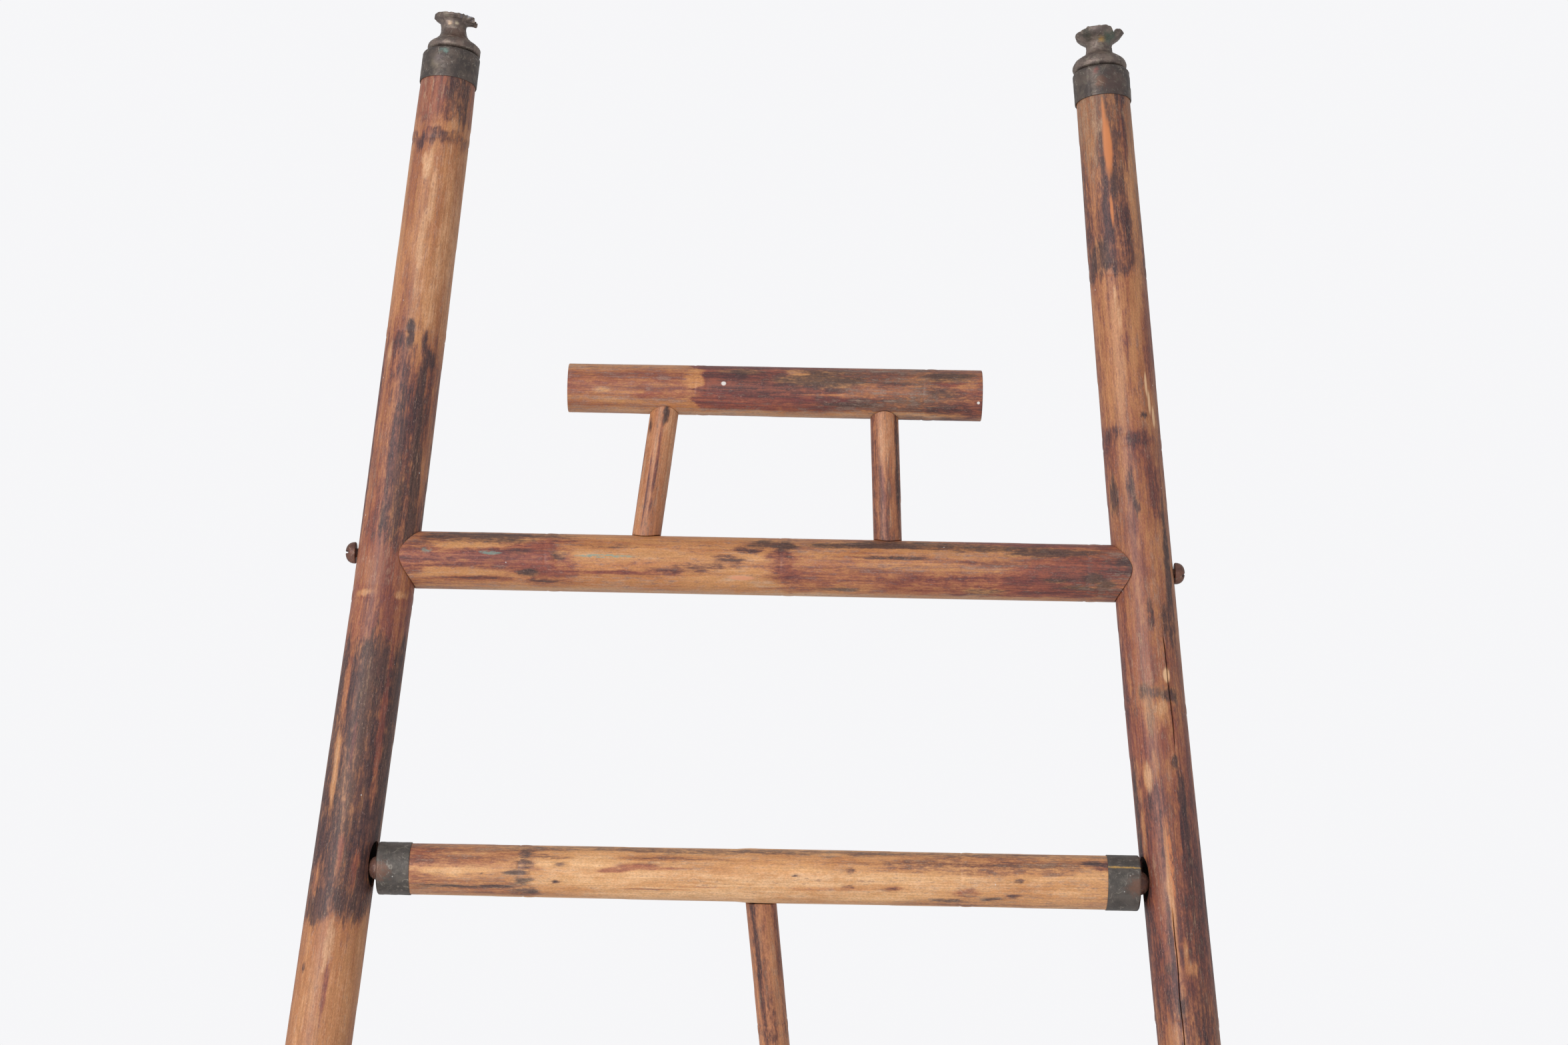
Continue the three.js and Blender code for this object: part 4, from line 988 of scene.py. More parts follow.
# (distance to the right of the middle, scorch, red, pale)
LYING_ZONES = {
    "upper_rail": [
        (-230, 0.2, 0.66, 0.05), (-195, 0.14, 0.62, 0.08), (-135, 0.12, 0.56, 0.08), (-124, 0.1, 0.66, 0.05),
        (-108, 0.05, 0.5, 0.1), (-100, 0.0, 0.12, 0.2), (-10, 0.05, 0.2, 0.15), (4, 0.14, 0.55, 0),
        (20, 0.1, 0.6, 0.1), (60, 0.08, 0.56, 0.15), (110, 0.14, 0.66, 0.1), (150, 0.26, 0.9, 0.05),
        (180, 0.42, 0.86, 0.12), (230, 0.48, 0.86, 0.1),
    ],
    "lower_rail": [
        (-270, 0.25, 0.5, 0.1), (-200, 0.1, 0.35, 0.2), (-186, 0.5, 0.6, 0), (-160, 0.1, 0.4, 0.2),
        (-60, 0.05, 0.3, 0.25), (-42, 0.5, 0.7, 0), (0, 0.3, 0.7, 0), (90, 0.12, 0.5, 0.1),
        (109, 0.55, 0.6, 0), (130, 0.05, 0.2, 0.25), (230, 0.1, 0.3, 0.2), (244, 0.5, 0.6, 0),
        (270, 0.4, 0.6, 0),
    ],
    "crest_bar": [
        (-120, 0.03, 0.5, 0.4), (-60, 0.0, 0.5, 0.35), (-38.5, 0.0, 0.34, 0.1), (-36.5, 0.32, 1.05, 0),
        (0, 0.34, 1.0, 0.05), (40, 0.46, 0.76, 0.2), (84, 0.62, 0.6, 0.26), (92, 0.6, 0.7, 0.16),
        (125, 0.3, 0.85, 0),
    ],
}
LYING_MARKS = {
    "upper_rail": [
        (-150, 60, 40, 20, 0.85, 0.2, 0), (-184, 30, 10, 16, 0.4, 0.7, 0), (-166, 33, 20, 7, 0, 0.1, 0.3),
        (-160, 14, 36, 5, 0.15, 0.85, 0), (-148, 0, 30, 5, 0.1, 0.7, 0), (-165, -22, 22, 10, 0, 0.1, 0.25),
        (-152, -34, 20, 5, 0.5, 0.8, 0), (-120, 4, 15, 42, 0.12, 0.88, 0.1), (-128, -20, 5, 8, 0.9, 0.5, 0),
        (-112, 12, 4, 10, 0.85, 0.6, 0), (-119, -38, 9, 6, 0.75, 0.8, 0), (-133, 22, 6, 7, 0.6, 0.9, 0),
        (-82, 28, 26, 22, 0, 0.1, 0.3), (-80, -16, 30, 4.5, 0.2, 0.85, 0), (-50, -10, 20, 5, 0.5, 0.75, 0),
        (-80, 38, 20, 4, 0.55, 0.3, 0), (-33, -2, 16, 6, 0.62, 0.6, 0), (-20, 14, 9, 8, 0.66, 0.6, 0),
        (-10, 36, 9, 8, 0.7, 0.7, 0), (-2, 54, 9, 12, 0.9, 0.3, 0), (10, 50, 7, 14, 0.95, 0.4, 0),
        (9, 18, 7, 16, 0.5, 0.9, 0), (11, -6, 6, 14, 0.35, 0.9, 0), (-12, -24, 9, 7, 0, 0, 0.95),
        (-2, -34, 10, 7, 0, 0.1, 0.6), (68, 58, 44, 15, 0.9, 0.2, 0), (66, 24, 22, 4, 0.75, 0.6, 0),
        (36, 30, 14, 8, 0, 0.1, 0.2), (70, 40, 26, 5, 0, 0.1, 0.25), (80, 2, 46, 12, 0.0, 0.5, 0.2),
        (150, 44, 30, 15, 0.95, 0.35, 0), (118, 50, 30, 10, 0.75, 0.2, 0.1), (140, 16, 30, 5, 0.5, 0.8, 0.1),
        (196, 18, 12, 22, 0.9, 0.8, 0), (170, 8, 26, 26, 0.45, 1.2, 0), (178, -11, 5, 11, 1.2, 0.1, 0.1),
        (185, -21, 5, 10, 1.1, 0.1, 0.1), (190, -40, 16, 10, 0.5, 0.9, 0.2),
        (170, -30, 9, 5, 0.9, 0.2, 0.1), (158, -17, 8, 4.5, 0.85, 0.3, 0), (118, -44, 12, 8, 0.75, 0.3, 0.1),
        # the last mark is painted light: a paler band all along the underside, for bounce light from the floor and
        # a grazing reflection
        (40, -48, 14, 6, 0.75, 0.4, 0.1), (0, -74, 230, 17, 0.12, 0.15, 0.62),
    ],
    "lower_rail": [
        (-120, 20, 50, 10, 0.2, 0.85, 0), (-30, -12, 26, 9, 0.7, 0.7, 0), (60, 30, 36, 10, 0.8, 0.4, 0),
        # the last mark is painted light: a paler band all along the underside, for bounce light from the floor and
        # a grazing reflection
        (170, -5, 40, 8, 0.1, 0.8, 0), (-200, 40, 30, 12, 0.85, 0.3, 0), (0, -74, 270, 15, 0.12, 0.15, 0.55),
    ],
    "crest_bar": [
        (-41, 28, 4.4, 26, 0, 0.0, 0.1), (-58, 8, 10, 7, 0.0, 0.5, 0.2), (-62, -16, 20, 8, 0.1, 0.9, 0),
        (-96, 30, 12, 14, 0.1, 0.6, 0.3), (-80, 62, 36, 14, 0.3, 0.5, 0.2),
        (-92, -4, 6, 9, 0.05, 0.2, 0.5), (-26, -16, 12, 17, 0.25, 1, 0),
        (-16, 50, 12, 10, 0.85, 0.3, 0), (26, 26, 22, 17, 0.95, 0.2, 0.05), (30, 52, 22, 10, 0.8, 0.3, 0),
        (14, 48, 8, 6, 0.0, 0.3, 0.2), (30, -8, 20, 3.4, 0, 0.4, 0.25), (24, -20, 20, 5, 0.1, 0.95, 0),
        (44, -30, 20, 5, 0.8, 0.4, 0.1), (68, 19, 9, 3.4, 0.8, 0.9, 0), (66, 0, 20, 16, 0.4, 0.75, 0.3),
        (100, 46, 13, 13, 0.95, 0.3, 0), (104, 22, 14, 5, 0.3, 1, 0), (96, 4, 8, 9, 0.75, 0.6, 0.1),
        # the last mark is painted light: a paler band all along the underside, for bounce light from the floor and
        # a grazing reflection
        (110, 14, 6, 12, 0, 0.5, 0.2), (0, -66, 120, 16, 0.2, 0.2, 0.55),
    ],
}
PINK_WOOD = rgb(222, 150, 112)
LYING_DROPS = {
    "crest_bar": [(-25, 3.6, 13.2, 1.3, 1.15, LINT, 0.9), (115.4, -4.4, 13.2, 0.8, 0.8, LINT, 1)],
    "upper_rail": [(-150, 4.9, 15, 7, 1.1, VERDIGRIS, 0.6), (-88, 4.3, 15.2, 15, 1.0, VERDIGRIS, 0.7),
                   (-184, 5.5, 14.7, 3, 1.6, VERDIGRIS, 0.5), (-13, -6, 14.4, 7, 1.3, PINK_WOOD, 0.8)],
    "lower_rail": [(60, 4, 16, 9, 1.5, VERDIGRIS, 0.4)],
}
LYING_BUMPS = {
    "upper_rail": [(-120, 6, 9, 30, 0.22), (-112, 12, 3, 8, -0.3), (-128, -20, 3, 8, -0.25),
                   (178, -12, 3, 7, 0.3), (185, -20, 3, 7, 0.25)],
    "lower_rail": [],
    "crest_bar": [(-92, -4, 5, 10, 0.3), (-38, 0, 1.2, 200, -0.12)],
}


TIP_ROUNDING = 2.5 * MM  # softness of a coped lip's tip
TIP_SHORTFALL = 2 * MM  # a lip stops this far short of the post's middle
DOWEL_HOLE = 2.9 * MM
DOWEL_HALF_LENGTH = 10.5 * MM


def soft_minimum(values, limit, softness):
    """The lesser of each value and a limit, rounded where they meet."""
    return (values + limit - np.hypot(values - limit, softness)) / 2


def rail_face(rail, post, side):
    """A rail's coped end, fitted round a post."""
    sign = SIDES[side]
    height = (rail.point(0.0) - UPRIGHT.origin) @ UP
    target = post.point(height)
    reach = sign * (target - FLOOR_MIDDLE)[0] - TIP_SHORTFALL

    def face(angle, radius):
        spokes = spokes_of(rail.axes, radius, angle)
        start = rail.axes.origin + rail.centre(sign * reach)
        wanted = post.radius(height) + COPE_GAP
        place = meeting(start, RIGHT, spokes, target, post.direction(height), wanted, far=sign < 0)
        return sign * soft_minimum(sign * place, reach, TIP_ROUNDING)
    return face


def make_lying(node, culm, ends, seed, open_ends=False, cutters=()):
    """A rail or the crest bar. Only the crest bar's bored ends are open to view."""
    piece = culm_piece(f"{node}_bamboo", culm, *ends, LYING_COLUMNS, LYING_SPACING, seed,
                       LYING_BUMPS[node])
    if cutters:
        cut(piece, *cutters)
    paint(piece, culm, LYING_ZONES[node], LYING_MARKS[node], seed, open_ends)
    material = bamboo_material(f"{node}_bamboo", RAIL_TONES, seed * 0.37, LYING_DROPS[node])
    finish(piece, "front_frame", node, material)


def dowel_drills(end, other_end):
    """Cutters for the blind holes of the struts' dowels."""
    cutters = []
    for side in SIDES:
        middle = node_middle(f"crest_strut_{side}_{end}_dowel")
        other = node_middle(f"crest_strut_{side}_{other_end}_dowel")
        reach = DOWEL_HALF_LENGTH * unit(other - middle)
        cutters.append(drill(middle - reach, middle + reach, DOWEL_HOLE, 24))
    return cutters


def make_rail(node, posts, seed):
    culm = measured_culm(node, LYING)
    ends = [End(rail_face(culm, posts[side], side), RAIL_BORE, RAIL_BORE_DEPTH) for side in SIDES]
    cutters = dowel_drills("lower", "upper") if node == "upper_rail" else ()
    make_lying(node, culm, ends, seed, cutters=cutters)
    return culm


def make_crest():
    culm = measured_culm("crest_bar", LYING)
    span = node_span("crest_bar", LYING)
    ends = [End(flat_face(place), CREST_BORE, CREST_BORE_DEPTH) for place in span]
    make_lying("crest_bar", culm, ends, 61, True, dowel_drills("upper", "lower"))
    return culm


# ----------------------------------------------------------------------------------------------
# Crest struts
# ----------------------------------------------------------------------------------------------
THIN_COLUMNS = 64
STRUT_SPACING = 1.6 * MM
STRUT_BORE_DEPTH = 7 * MM
STRUT_ZONES = {
    "left": [(1230, 0.05, 0.28, 0.2), (1250, 0, 0.14, 0.34), (1280, 0, 0.06, 0.42), (1320, 0, 0.12, 0.38)],
    "right": [(1230, 0.3, 0.6, 0), (1250, 0.24, 0.6, 0.05), (1290, 0.2, 0.52, 0.1), (1320, 0.2, 0.35, 0.2)],
}
STRUT_MARKS = {
    "left": [
        (1305, 12, 5, 16, 0.95, 0.4, 0), (1300, -52, 5, 14, 0.8, 0.4, 0), (1280, 2, 30, 4, 0.2, 0.9, 0),
        (1270, 48, 30, 20, 0, 0.2, 0.4), (1262, -22, 26, 4, 0.3, 0.9, 0), (1280, -80, 40, 10, 0.3, 0.5, 0),
    ],
    "right": [
        (1292, -6, 16, 22, 0, 0.1, 0.4), (1280, 58, 40, 16, 0.75, 0.7, 0), (1262, -14, 18, 10, 0.2, 0.9, 0),
        (1290, -64, 30, 14, 0.5, 0.8, 0), (1252, 14, 14, 12, 0, 0.2, 0.3),
    ],
}


def strut_seat(culm, place, target, far):
    """A strut's coped end, fitted round the rail below it or the crest bar above it."""
    across = culm.point(place)[0] - FLOOR_MIDDLE[0]
    seat = target.point(across)
    middle = culm.axes.origin + culm.centre((seat - FLOOR_MIDDLE) @ UP)
    radius = target.radius(across) + COPE_GAP

    def face(angle, spoke):
        return meeting(middle, UP, spokes_of(UPRIGHT, spoke, angle), seat, RIGHT, radius, far)
    return face


def make_strut(side, rail, crest):
    node = f"crest_strut_{side}"
    low, high = (node_middle(f"{node}_{end}_dowel") - FLOOR_MIDDLE for end in ("lower", "upper"))
    radius = np.ptp((vertices_of(node) - FLOOR_MIDDLE) @ FRONT) / 2
    centres = [np.array([low @ way, high @ way]) for way in (UP, FRONT, RIGHT)]
    culm = Culm(UPRIGHT, centres, (centres[0], np.array([radius, radius])))
    seats = [strut_seat(culm, culm.places[0], rail, True), strut_seat(culm, culm.places[1], crest, False)]
    ends = [End(seat, DOWEL_HOLE, STRUT_BORE_DEPTH) for seat in seats]
    seed = 80 + SIDES[side]
    strut = culm_piece(f"{node}_bamboo", culm, *ends, THIN_COLUMNS, STRUT_SPACING, seed)
    paint(strut, culm, STRUT_ZONES[side], STRUT_MARKS[side], seed)
    material = bamboo_material(f"{node}_bamboo", THIN_TONES, seed * 0.21)
    finish(strut, "front_frame", node, material)


# ----------------------------------------------------------------------------------------------
# Turning bar and rear leg
# ----------------------------------------------------------------------------------------------
BAR_BORE = 7 * MM
BAR_BORE_DEPTH = 40 * MM
BAR_ZONES = [
    (-210, 0.2, 0.8, 0.05), (-180, 0.16, 0.7, 0.08), (-135, 0.16, 0.62, 0.12), (-128, 0.36, 0.6, 0.1),
    (-120, 0.34, 0.6, 0.1), (-116, 0.04, 0.32, 0.3), (-100, 0.02, 0.26, 0.3), (-80, 0, 0.14, 0.4),
    (-10, 0, 0.04, 0.45),
    (50, 0.0, 0.08, 0.42), (80, 0.1, 0.25, 0.3), (105, 0.2, 0.42, 0.2), (150, 0.16, 0.38, 0.25),
    (210, 0.2, 0.4, 0.2),
]
BAR_MARKS = [
    (-180, 42, 9, 18, 0.1, 0.85, 0), (-168, 20, 22, 5, 0.25, 0.7, 0), (-164, 2, 20, 9, 0, 0, 0.5),
    (-146, 0, 2.2, 4, 0.7, 0.2, 0), (-170, -33, 20, 3.4, 0.95, 0.4, 0.1), (-138, -31, 10, 5, 0.95, 0.6, 0),
    (-124, 48, 3, 24, 0.75, 0.4, 0.1), (-124, 22, 5, 10, 0.8, 0.6, 0), (-128, 3, 8, 6, 1.1, 0.1, 0.1),
    (-125, -18, 5, 10, 1.0, 0.1, 0.15), (-124, -40, 6, 9, 0.95, 0.3, 0.1), (-107, -17, 2.6, 5, 1, 0.7, 0),
    (-104, 22, 5, 6, 0.8, 0.4, 0.1), (-110, 40, 10, 9, 0.35, 0.4, 0), (-66, 21, 12, 8, 0.2, 0.95, 0),
    (-77, 10, 7, 7, 0.16, 0.9, 0), (-47, 17, 12, 4, 0.16, 0.85, 0.1), (-56, 42, 24, 6, 0.25, 0.5, 0.1),
    (-52, -30, 18, 2.4, 0.2, 0.75, 0.1), (-28, -22, 16, 2.2, 0.15, 0.7, 0.1), (-5, -14, 1.3, 3, 0.9, 0.5, 0),
    (10, -4, 40, 14, 0, 0, 0.6), (20, 8, 1.2, 3, 0.8, 0.5, 0), (48, -17, 3.4, 5, 0.85, 0.8, 0),
    (49, 22, 3, 7, 0.6, 0.6, 0.1), (70, 36, 3, 5, 0.95, 0.2, 0), (30, -20, 30, 4, 0, 0.45, 0.2),
    (72, -16, 5, 7, 0.4, 0.75, 0), (120, 34, 60, 18, 0.4, 0.55, 0.1), (96, 6, 16, 8, 0, 0.1, 0.4),
    (111, -24, 9, 11, 0.2, 0.95, 0.1), (112, -26, 5, 5, 0.35, 0.6, 0.4), (124, -38, 7, 6, 0.95, 0.2, 0),
    (96, -44, 14, 5, 0.8, 0.3, 0.1), (138, 6, 3, 5, 0.8, 0.4, 0), (135, -30, 4, 6, 0.6, 0.6, 0),
    (160, -14, 16, 12, 0, 0.1, 0.4), (0, 72, 200, 15, 0.56, 0.3, 0.12), (186, 42, 12, 13, 0.5, 0.9, 0),
    (177, 48, 7, 7, 0.9, 0.5, 0), (184, -46, 22, 14, 0.12, 0.66, 0.3), (-190, -8, 14, 20, 0.1, 0.75, 0.1),
    # painted light: a paler band all along the underside, for bounce light from the floor and a grazing reflection
    (0, -78, 200, 14, 0.2, 0.1, 0.55),
]
BAR_BUMPS = [
    (-124, -10, 3, 40, 0.22), (-127, 3, 4, 4, -0.3), (-138, -31, 8, 4, -0.25), (111, -25, 7, 9, 0.4),
    (111, -12, 6, 2.4, -0.2), (-170, -33, 16, 3, -0.2), (-107, -17, 2, 4, -0.25),
]

LEG_TENON = 6 * MM
MORTISE_TOP = 8.3 * MM  # the tenon's hole ends this far beyond the bar's axis
NAIL_HOLE = 1.5 * MM
LEG_SPACING = 3.0 * MM
LEG_INSET = 1.6 * MM  # the same for the leg and its ferrule
LEG_ZONES = [
    (0, 0.1, 0.42, 0.08), (40, 0.06, 0.38, 0.14), (86, 0.2, 0.5, 0.1), (92, 0.55, 0.6, 0),
    (100, 0.15, 0.45, 0.1),
    (228, 0.1, 0.45, 0.15), (236, 0.55, 0.6, 0), (250, 0.1, 0.4, 0.2), (384, 0.15, 0.5, 0.1),
    (392, 0.6, 0.5, 0), (410, 0.1, 0.35, 0.2), (545, 0.1, 0.4, 0.2), (552, 0.55, 0.6, 0),
    (640, 0.35, 0.6, 0), (716, 0.5, 0.6, 0), (730, 0.1, 0.35, 0.2), (876, 0.1, 0.45, 0.15),
    (884, 0.6, 0.5, 0), (960, 0.3, 0.6, 0), (1022, 0.5, 0.5, 0), (1100, 0.3, 0.5, 0.1),
    (1160, 0.4, 0.5, 0),
]
LEG_MARKS = [
    (30, 34, 60, 12, 0.75, 0.7, 0), (120, 30, 60, 10, 0.6, 0.8, 0), (60, -30, 60, 16, 0, 0.35, 0.25),
    (150, -20, 30, 9, 0.1, 0.8, 0), (300, 10, 50, 12, 0.6, 0.7, 0), (470, -30, 60, 12, 0.1, 0.2, 0.5),
]


def make_bar():
    culm = measured_culm("pivot_bar", BAR)
    ends = [End(flat_face(place), BAR_BORE, BAR_BORE_DEPTH) for place in node_span("pivot_bar", BAR)]
    piece = culm_piece("pivot_bar_bamboo", culm, *ends, LYING_COLUMNS, LYING_SPACING, 211, BAR_BUMPS)
    mortise = drill(PIVOT + 30 * MM * LEG_DOWN, PIVOT - MORTISE_TOP * LEG_DOWN, LEG_TENON + COPE_GAP)
    nail, _, _ = turned_axes("leg_joint_nail", -LEG.front)
    hole = drill(nail.origin - 1 * MM * nail.along, nail.origin + 40 * MM * nail.along, NAIL_HOLE, 24)
    cut(piece, mortise, hole)
    paint(piece, culm, BAR_ZONES, BAR_MARKS, 211)
    material = bamboo_material("pivot_bar_bamboo", BAR_TONES, 7.7)
    finish(piece, "rear_leg", "pivot_bar", material)
    return culm


def make_leg(bar):
    culm = measured_culm("rear_leg_pole", LEG)
    _, _, foot_radius = turned_axes("rear_foot_ferrule", LEG_DOWN)
    culm.hold_ends((0.0, culm.plain_radii[0]), (LEG_REACH + 20 * MM, foot_radius - LEG_INSET))
    shoulder = bar.radius(0.0) + 2 * COPE_GAP

    def saddle(angle, radius):
        return meeting(PIVOT, LEG_DOWN, spokes_of(LEG, radius, angle), PIVOT, RIGHT, shoulder, True)

    ends = [End(saddle, 0, 0), End(floor_face(culm), 0, 0)]
    pole = culm_piece("rear_leg_bamboo", culm, *ends, THIN_COLUMNS, LEG_SPACING, 307)
    paint(pole, culm, LEG_ZONES, LEG_MARKS, 307)
    material = bamboo_material("rear_leg_bamboo", THIN_TONES, 9.1)
    finish(pole, "rear_leg", "rear_leg_pole", material)
    return culm


# ----------------------------------------------------------------------------------------------
# Turned metal and wood
# ----------------------------------------------------------------------------------------------
TURNED_COLUMNS = 144


def arc(centre_radius, centre_along, radius, start, end, steps=10):
    """Points of an outline along an arc, as (radius, distance). 0 degrees points outwards."""
    turns = np.radians(np.linspace(start, end, steps))
    return [(centre_radius + radius * math.cos(t), centre_along + radius * math.sin(t)) for t in turns]


def through(points, steps=5):
    """A smooth outline through a few points."""
    points = [np.array(point, float) for point in points]
    padded = [2 * points[0] - points[1], *points, 2 * points[-1] - points[-2]]
    smooth = []
    for a, b, c, d in zip(padded, padded[1:], padded[2:], padded[3:]):
        for t in np.arange(steps) / steps:
            square = (2 * a - 5 * b + 4 * c - d) * t ** 2
            cube = (3 * b - a - 3 * c + d) * t ** 3
            smooth.append(tuple(0.5 * (2 * b + (c - a) * t + square + cube)))
    return [*smooth, tuple(points[-1])]


def turned(name, axes, outline, warp=None, count=TURNED_COLUMNS, closed=True):
    """A piece turned about an axis from an outline in millimetres."""
    angle = even_angles(count)
    rows = []
    for radius, along in outline:
        radii, places = np.full(count, float(radius)), np.full(count, float(along))
        if warp:
            radii, places = warp(angle, radii, places)
        if not closed and radius < 1e-6:
            rows.append([axes.origin + places.mean() * MM * axes.along])
        else:
            rows.append(ring(axes, 0, radii * MM, places * MM, angle))
    return skin(name, rows, closed)


def dents(angle, along, seed, size):
    """Small dents of thin brass, in millimetres."""
    soft = culm_noise(angle, along * MM, 9, 0.007, seed) - 0.5
    fine = culm_noise(angle, along * MM, 30, 0.003, seed + 1) - 0.5
    return size * (soft + 0.35 * fine)


def dented_skirt(outer, height, lip, seed, size, sunk, seam, lap):
    """A warp for a thin tube: dents in its outside and a lapped seam at an angle.

    The lip is how far in from the outside and from the closed end the dents stop, and the lap is
    the seam's depth and half width.
    """
    def warp(angle, radii, places):
        skirt = (radii > outer - lip[0]) & (places < height - lip[1])
        give = dents(angle, places, seed, size) - lap[0] * bell(wrapped(angle - seam), lap[1]) - sunk
        return radii + np.where(skirt, np.minimum(give, 0), 0), places
    return warp


def marks_from(origin, up, table):
    """Marks for metal, given as (right, up, radius, colour, strength) in millimetres."""
    marks = []
    for across, rise, radius, colour, strength in table:
        marks.append((origin + (across * RIGHT + rise * up) * MM, radius, colour, strength))
    return marks


COLLAR_SEAM = {"left": 32.0, "right": -32.0}
COLLAR_MARKS = {
    "left": [(-2, 0, 1.5, VERDIGRIS, 0.42), (-5, 0, 1.1, VERDIGRIS, 0.3),
             (-9, -7, 3.0, rgb(146, 134, 112), 0.5), (-7, -5, 2.6, rgb(122, 110, 112), 0.5)],
    "right": [(-2, 0, 2.8, rgb(128, 86, 64), 0.5), (6, 0, 6.0, rgb(100, 78, 74), 0.5),
              (-5, 7, 1.5, rgb(128, 72, 64), 0.6)],
}


def make_collar(side, direction):
    """The brass cap on a post's top, with a hole for the finial's screw."""
    node = f"{side}_post_collar"
    axes, length, radius = turned_axes(node, direction)
    height, outer = length / MM, radius / MM
    wall, shoulder, disc, hole = 0.7, 2.6, 0.8, 2.7
    outline = [(outer - wall, 0.15), (outer - 0.5 * wall, 0.0), (outer - 0.1, 0.12), (outer, 0.45)]
    outline += [(outer, place) for place in np.linspace(1.2, height - shoulder - 0.4, 16)]
    outline += arc(outer - shoulder, height - shoulder, shoulder, 0, 80, 12)
    outline += [(outer - 5, height), (hole + 4, height - 0.05), (hole, height), (hole, height - disc)]
    outline += [(outer - 3, height - disc), (outer - wall, height - disc - 0.4), (outer - wall, height - 4)]
    seam = COLLAR_SEAM[side]
    warp = dented_skirt(outer, height, (1.2, 2.0), 400 + SIDES[side], 0.22, 0.12, seam, (0.18, 1.6))
    collar = turned(f"{side}_collar_brass", axes, outline, warp)
    marked = height - 3 if side == "left" else 0.4 * height
    middle = axes.origin + marked * MM * axes.along + radius * axes.front
    marks = marks_from(middle, UP, COLLAR_MARKS[side])
    material = metal_material(f"{side}_collar_brass", BRASS_TONES, 0.55, 12.0 + SIDES[side], marks)
    finish(collar, "front_frame", node, material)


FINIAL_NECK = {"left": 15.0, "right": 13.9}
FINIAL_BEAD = {"left": [(14.8, 4.3), (13.6, 5.5)], "right": [(14.6, 4.8), (13.6, 6.3)]}
FINIAL_SHOULDER = {
    "left": [(12.9, 5.9), (12.3, 6.3), (11.1, 7.3), (9.6, 8.7), (8.4, 10.3), (7.6, 12.2)],
    "right": [(13.0, 6.8), (12.4, 7.2), (11.2, 8.1), (9.6, 9.1), (8.2, 10.2), (7.5, 11.6)],
}
FINIAL_FLARE = {  # (radius, height above the neck) of the cup's outside
    "left": [(7.3, 1.6), (7.6, 3.0), (8.3, 4.1), (9.3, 5.1), (10.0, 6.1), (10.3, 7.4)],
    "right": [(7.4, 1.5), (7.9, 2.9), (9.2, 4.0), (10.7, 5.1), (12.1, 6.3), (12.9, 7.6)],
}
FINIAL_SHIFT = {"left": 1.1, "right": -0.4}
FINIAL_LEAN = {"left": -0.15, "right": 0.05}  # sideways shift for each millimetre of height
CUP_RADIUS = {"left": 10.5, "right": 13.3}
CUP_WALL = 0.8
RIM_BAND = 5.5  # how far down from the rim the tears reach
FINIAL_LIMIT = 15.9  # no warp reaches further out than this
FINIAL_MARKS = {  # from the front of the neck: (right, up, radius, colour, strength)
    "left": [(1.6, 1.6, 1.0, rgb(226, 208, 180), 0.9), (-2.4, 1.6, 1.2, rgb(196, 168, 140), 0.8),
             (8, 10.1, 4.2, rgb(96, 134, 170), 0.85), (3, -8, 6, rgb(112, 82, 66), 0.5)],
    "right": [(1, 3.9, 2.0, BARE_BRASS, 0.8), (2.5, 8.4, 2.6, rgb(120, 92, 70), 0.6),
              (5.5, 5.4, 3.6, rgb(96, 118, 104), 0.6), (-6, 6.4, 3.2, rgb(58, 66, 56), 0.6)],
}


def rim_tears(side, angle):
    """How much of the torn rim is missing, and how far it is bent out, in millimetres."""
    ragged = 0.2 * (1 - np.cos(np.radians(angle)))
    ragged = ragged + 0.7 * culm_noise(angle, angle * 0, 60, 1.0, 17 + SIDES[side])
    ragged = ragged + 0.5 * culm_noise(angle, angle * 0, 17, 1.0, 27 + SIDES[side])
    if side == "right":
        notch = 4.2 * bell(wrapped(angle - 38), 6.0)
        tab = 1.6 * smoothstep(42, 50, wrapped(angle)) * smoothstep(100, 80, wrapped(angle))
        left_step = 0.8 * smoothstep(-30, -36, wrapped(angle)) * smoothstep(-120, -80, wrapped(angle))
        return ragged + notch + tab + left_step, 0.7 * tab
    fray = smoothstep(44, 60, wrapped(angle)) * smoothstep(125, 104, wrapped(angle))
    low_left = 0.6 * smoothstep(-60, -84, wrapped(angle)) * smoothstep(-150, -120, wrapped(angle))
    spikes = culm_noise(angle, angle * 0, 60, 1.0, 90)
    hook = 1.6 * bell(wrapped(angle + 88), 5.0) + 1.2 * bell(wrapped(angle), 50)
    return ragged + fray * (1.0 + 3.4 * spikes) + low_left + hook, 4.0 * fray


def finial_outline(side, height):
    """The bead, neck and flared cup, up the outside and down the inside."""
    neck, rim = FINIAL_NECK[side], CUP_RADIUS[side]
    bead = through([(13.6, 0.0), (14.9, 0.9), (15.3, 2.7), *FINIAL_BEAD[side]])
    flare = [(wide, neck + rise) for wide, rise in FINIAL_FLARE[side]]
    cup = [FINIAL_BEAD[side][-1], *FINIAL_SHOULDER[side], (7.2, neck), *flare]
    cup = through([*cup, (rim - 0.1, height - 1.2), (rim, height - 0.3)], 6)[1:]
    inside = []
    for wide, rise in reversed(cup):
        if rise > neck:
            inside.append((wide - CUP_WALL - 0.2, min(rise + 0.1, height - 0.1)))
    bore = through([inside[-1], (6.4, neck - 1), (6.2, 3.0), (5.9, 1.6), (4.6, 1.2)], 4)[1:]
    return [(4.6, 0.0), *bead, *cup, (rim - 0.4, height), *inside, *bore]


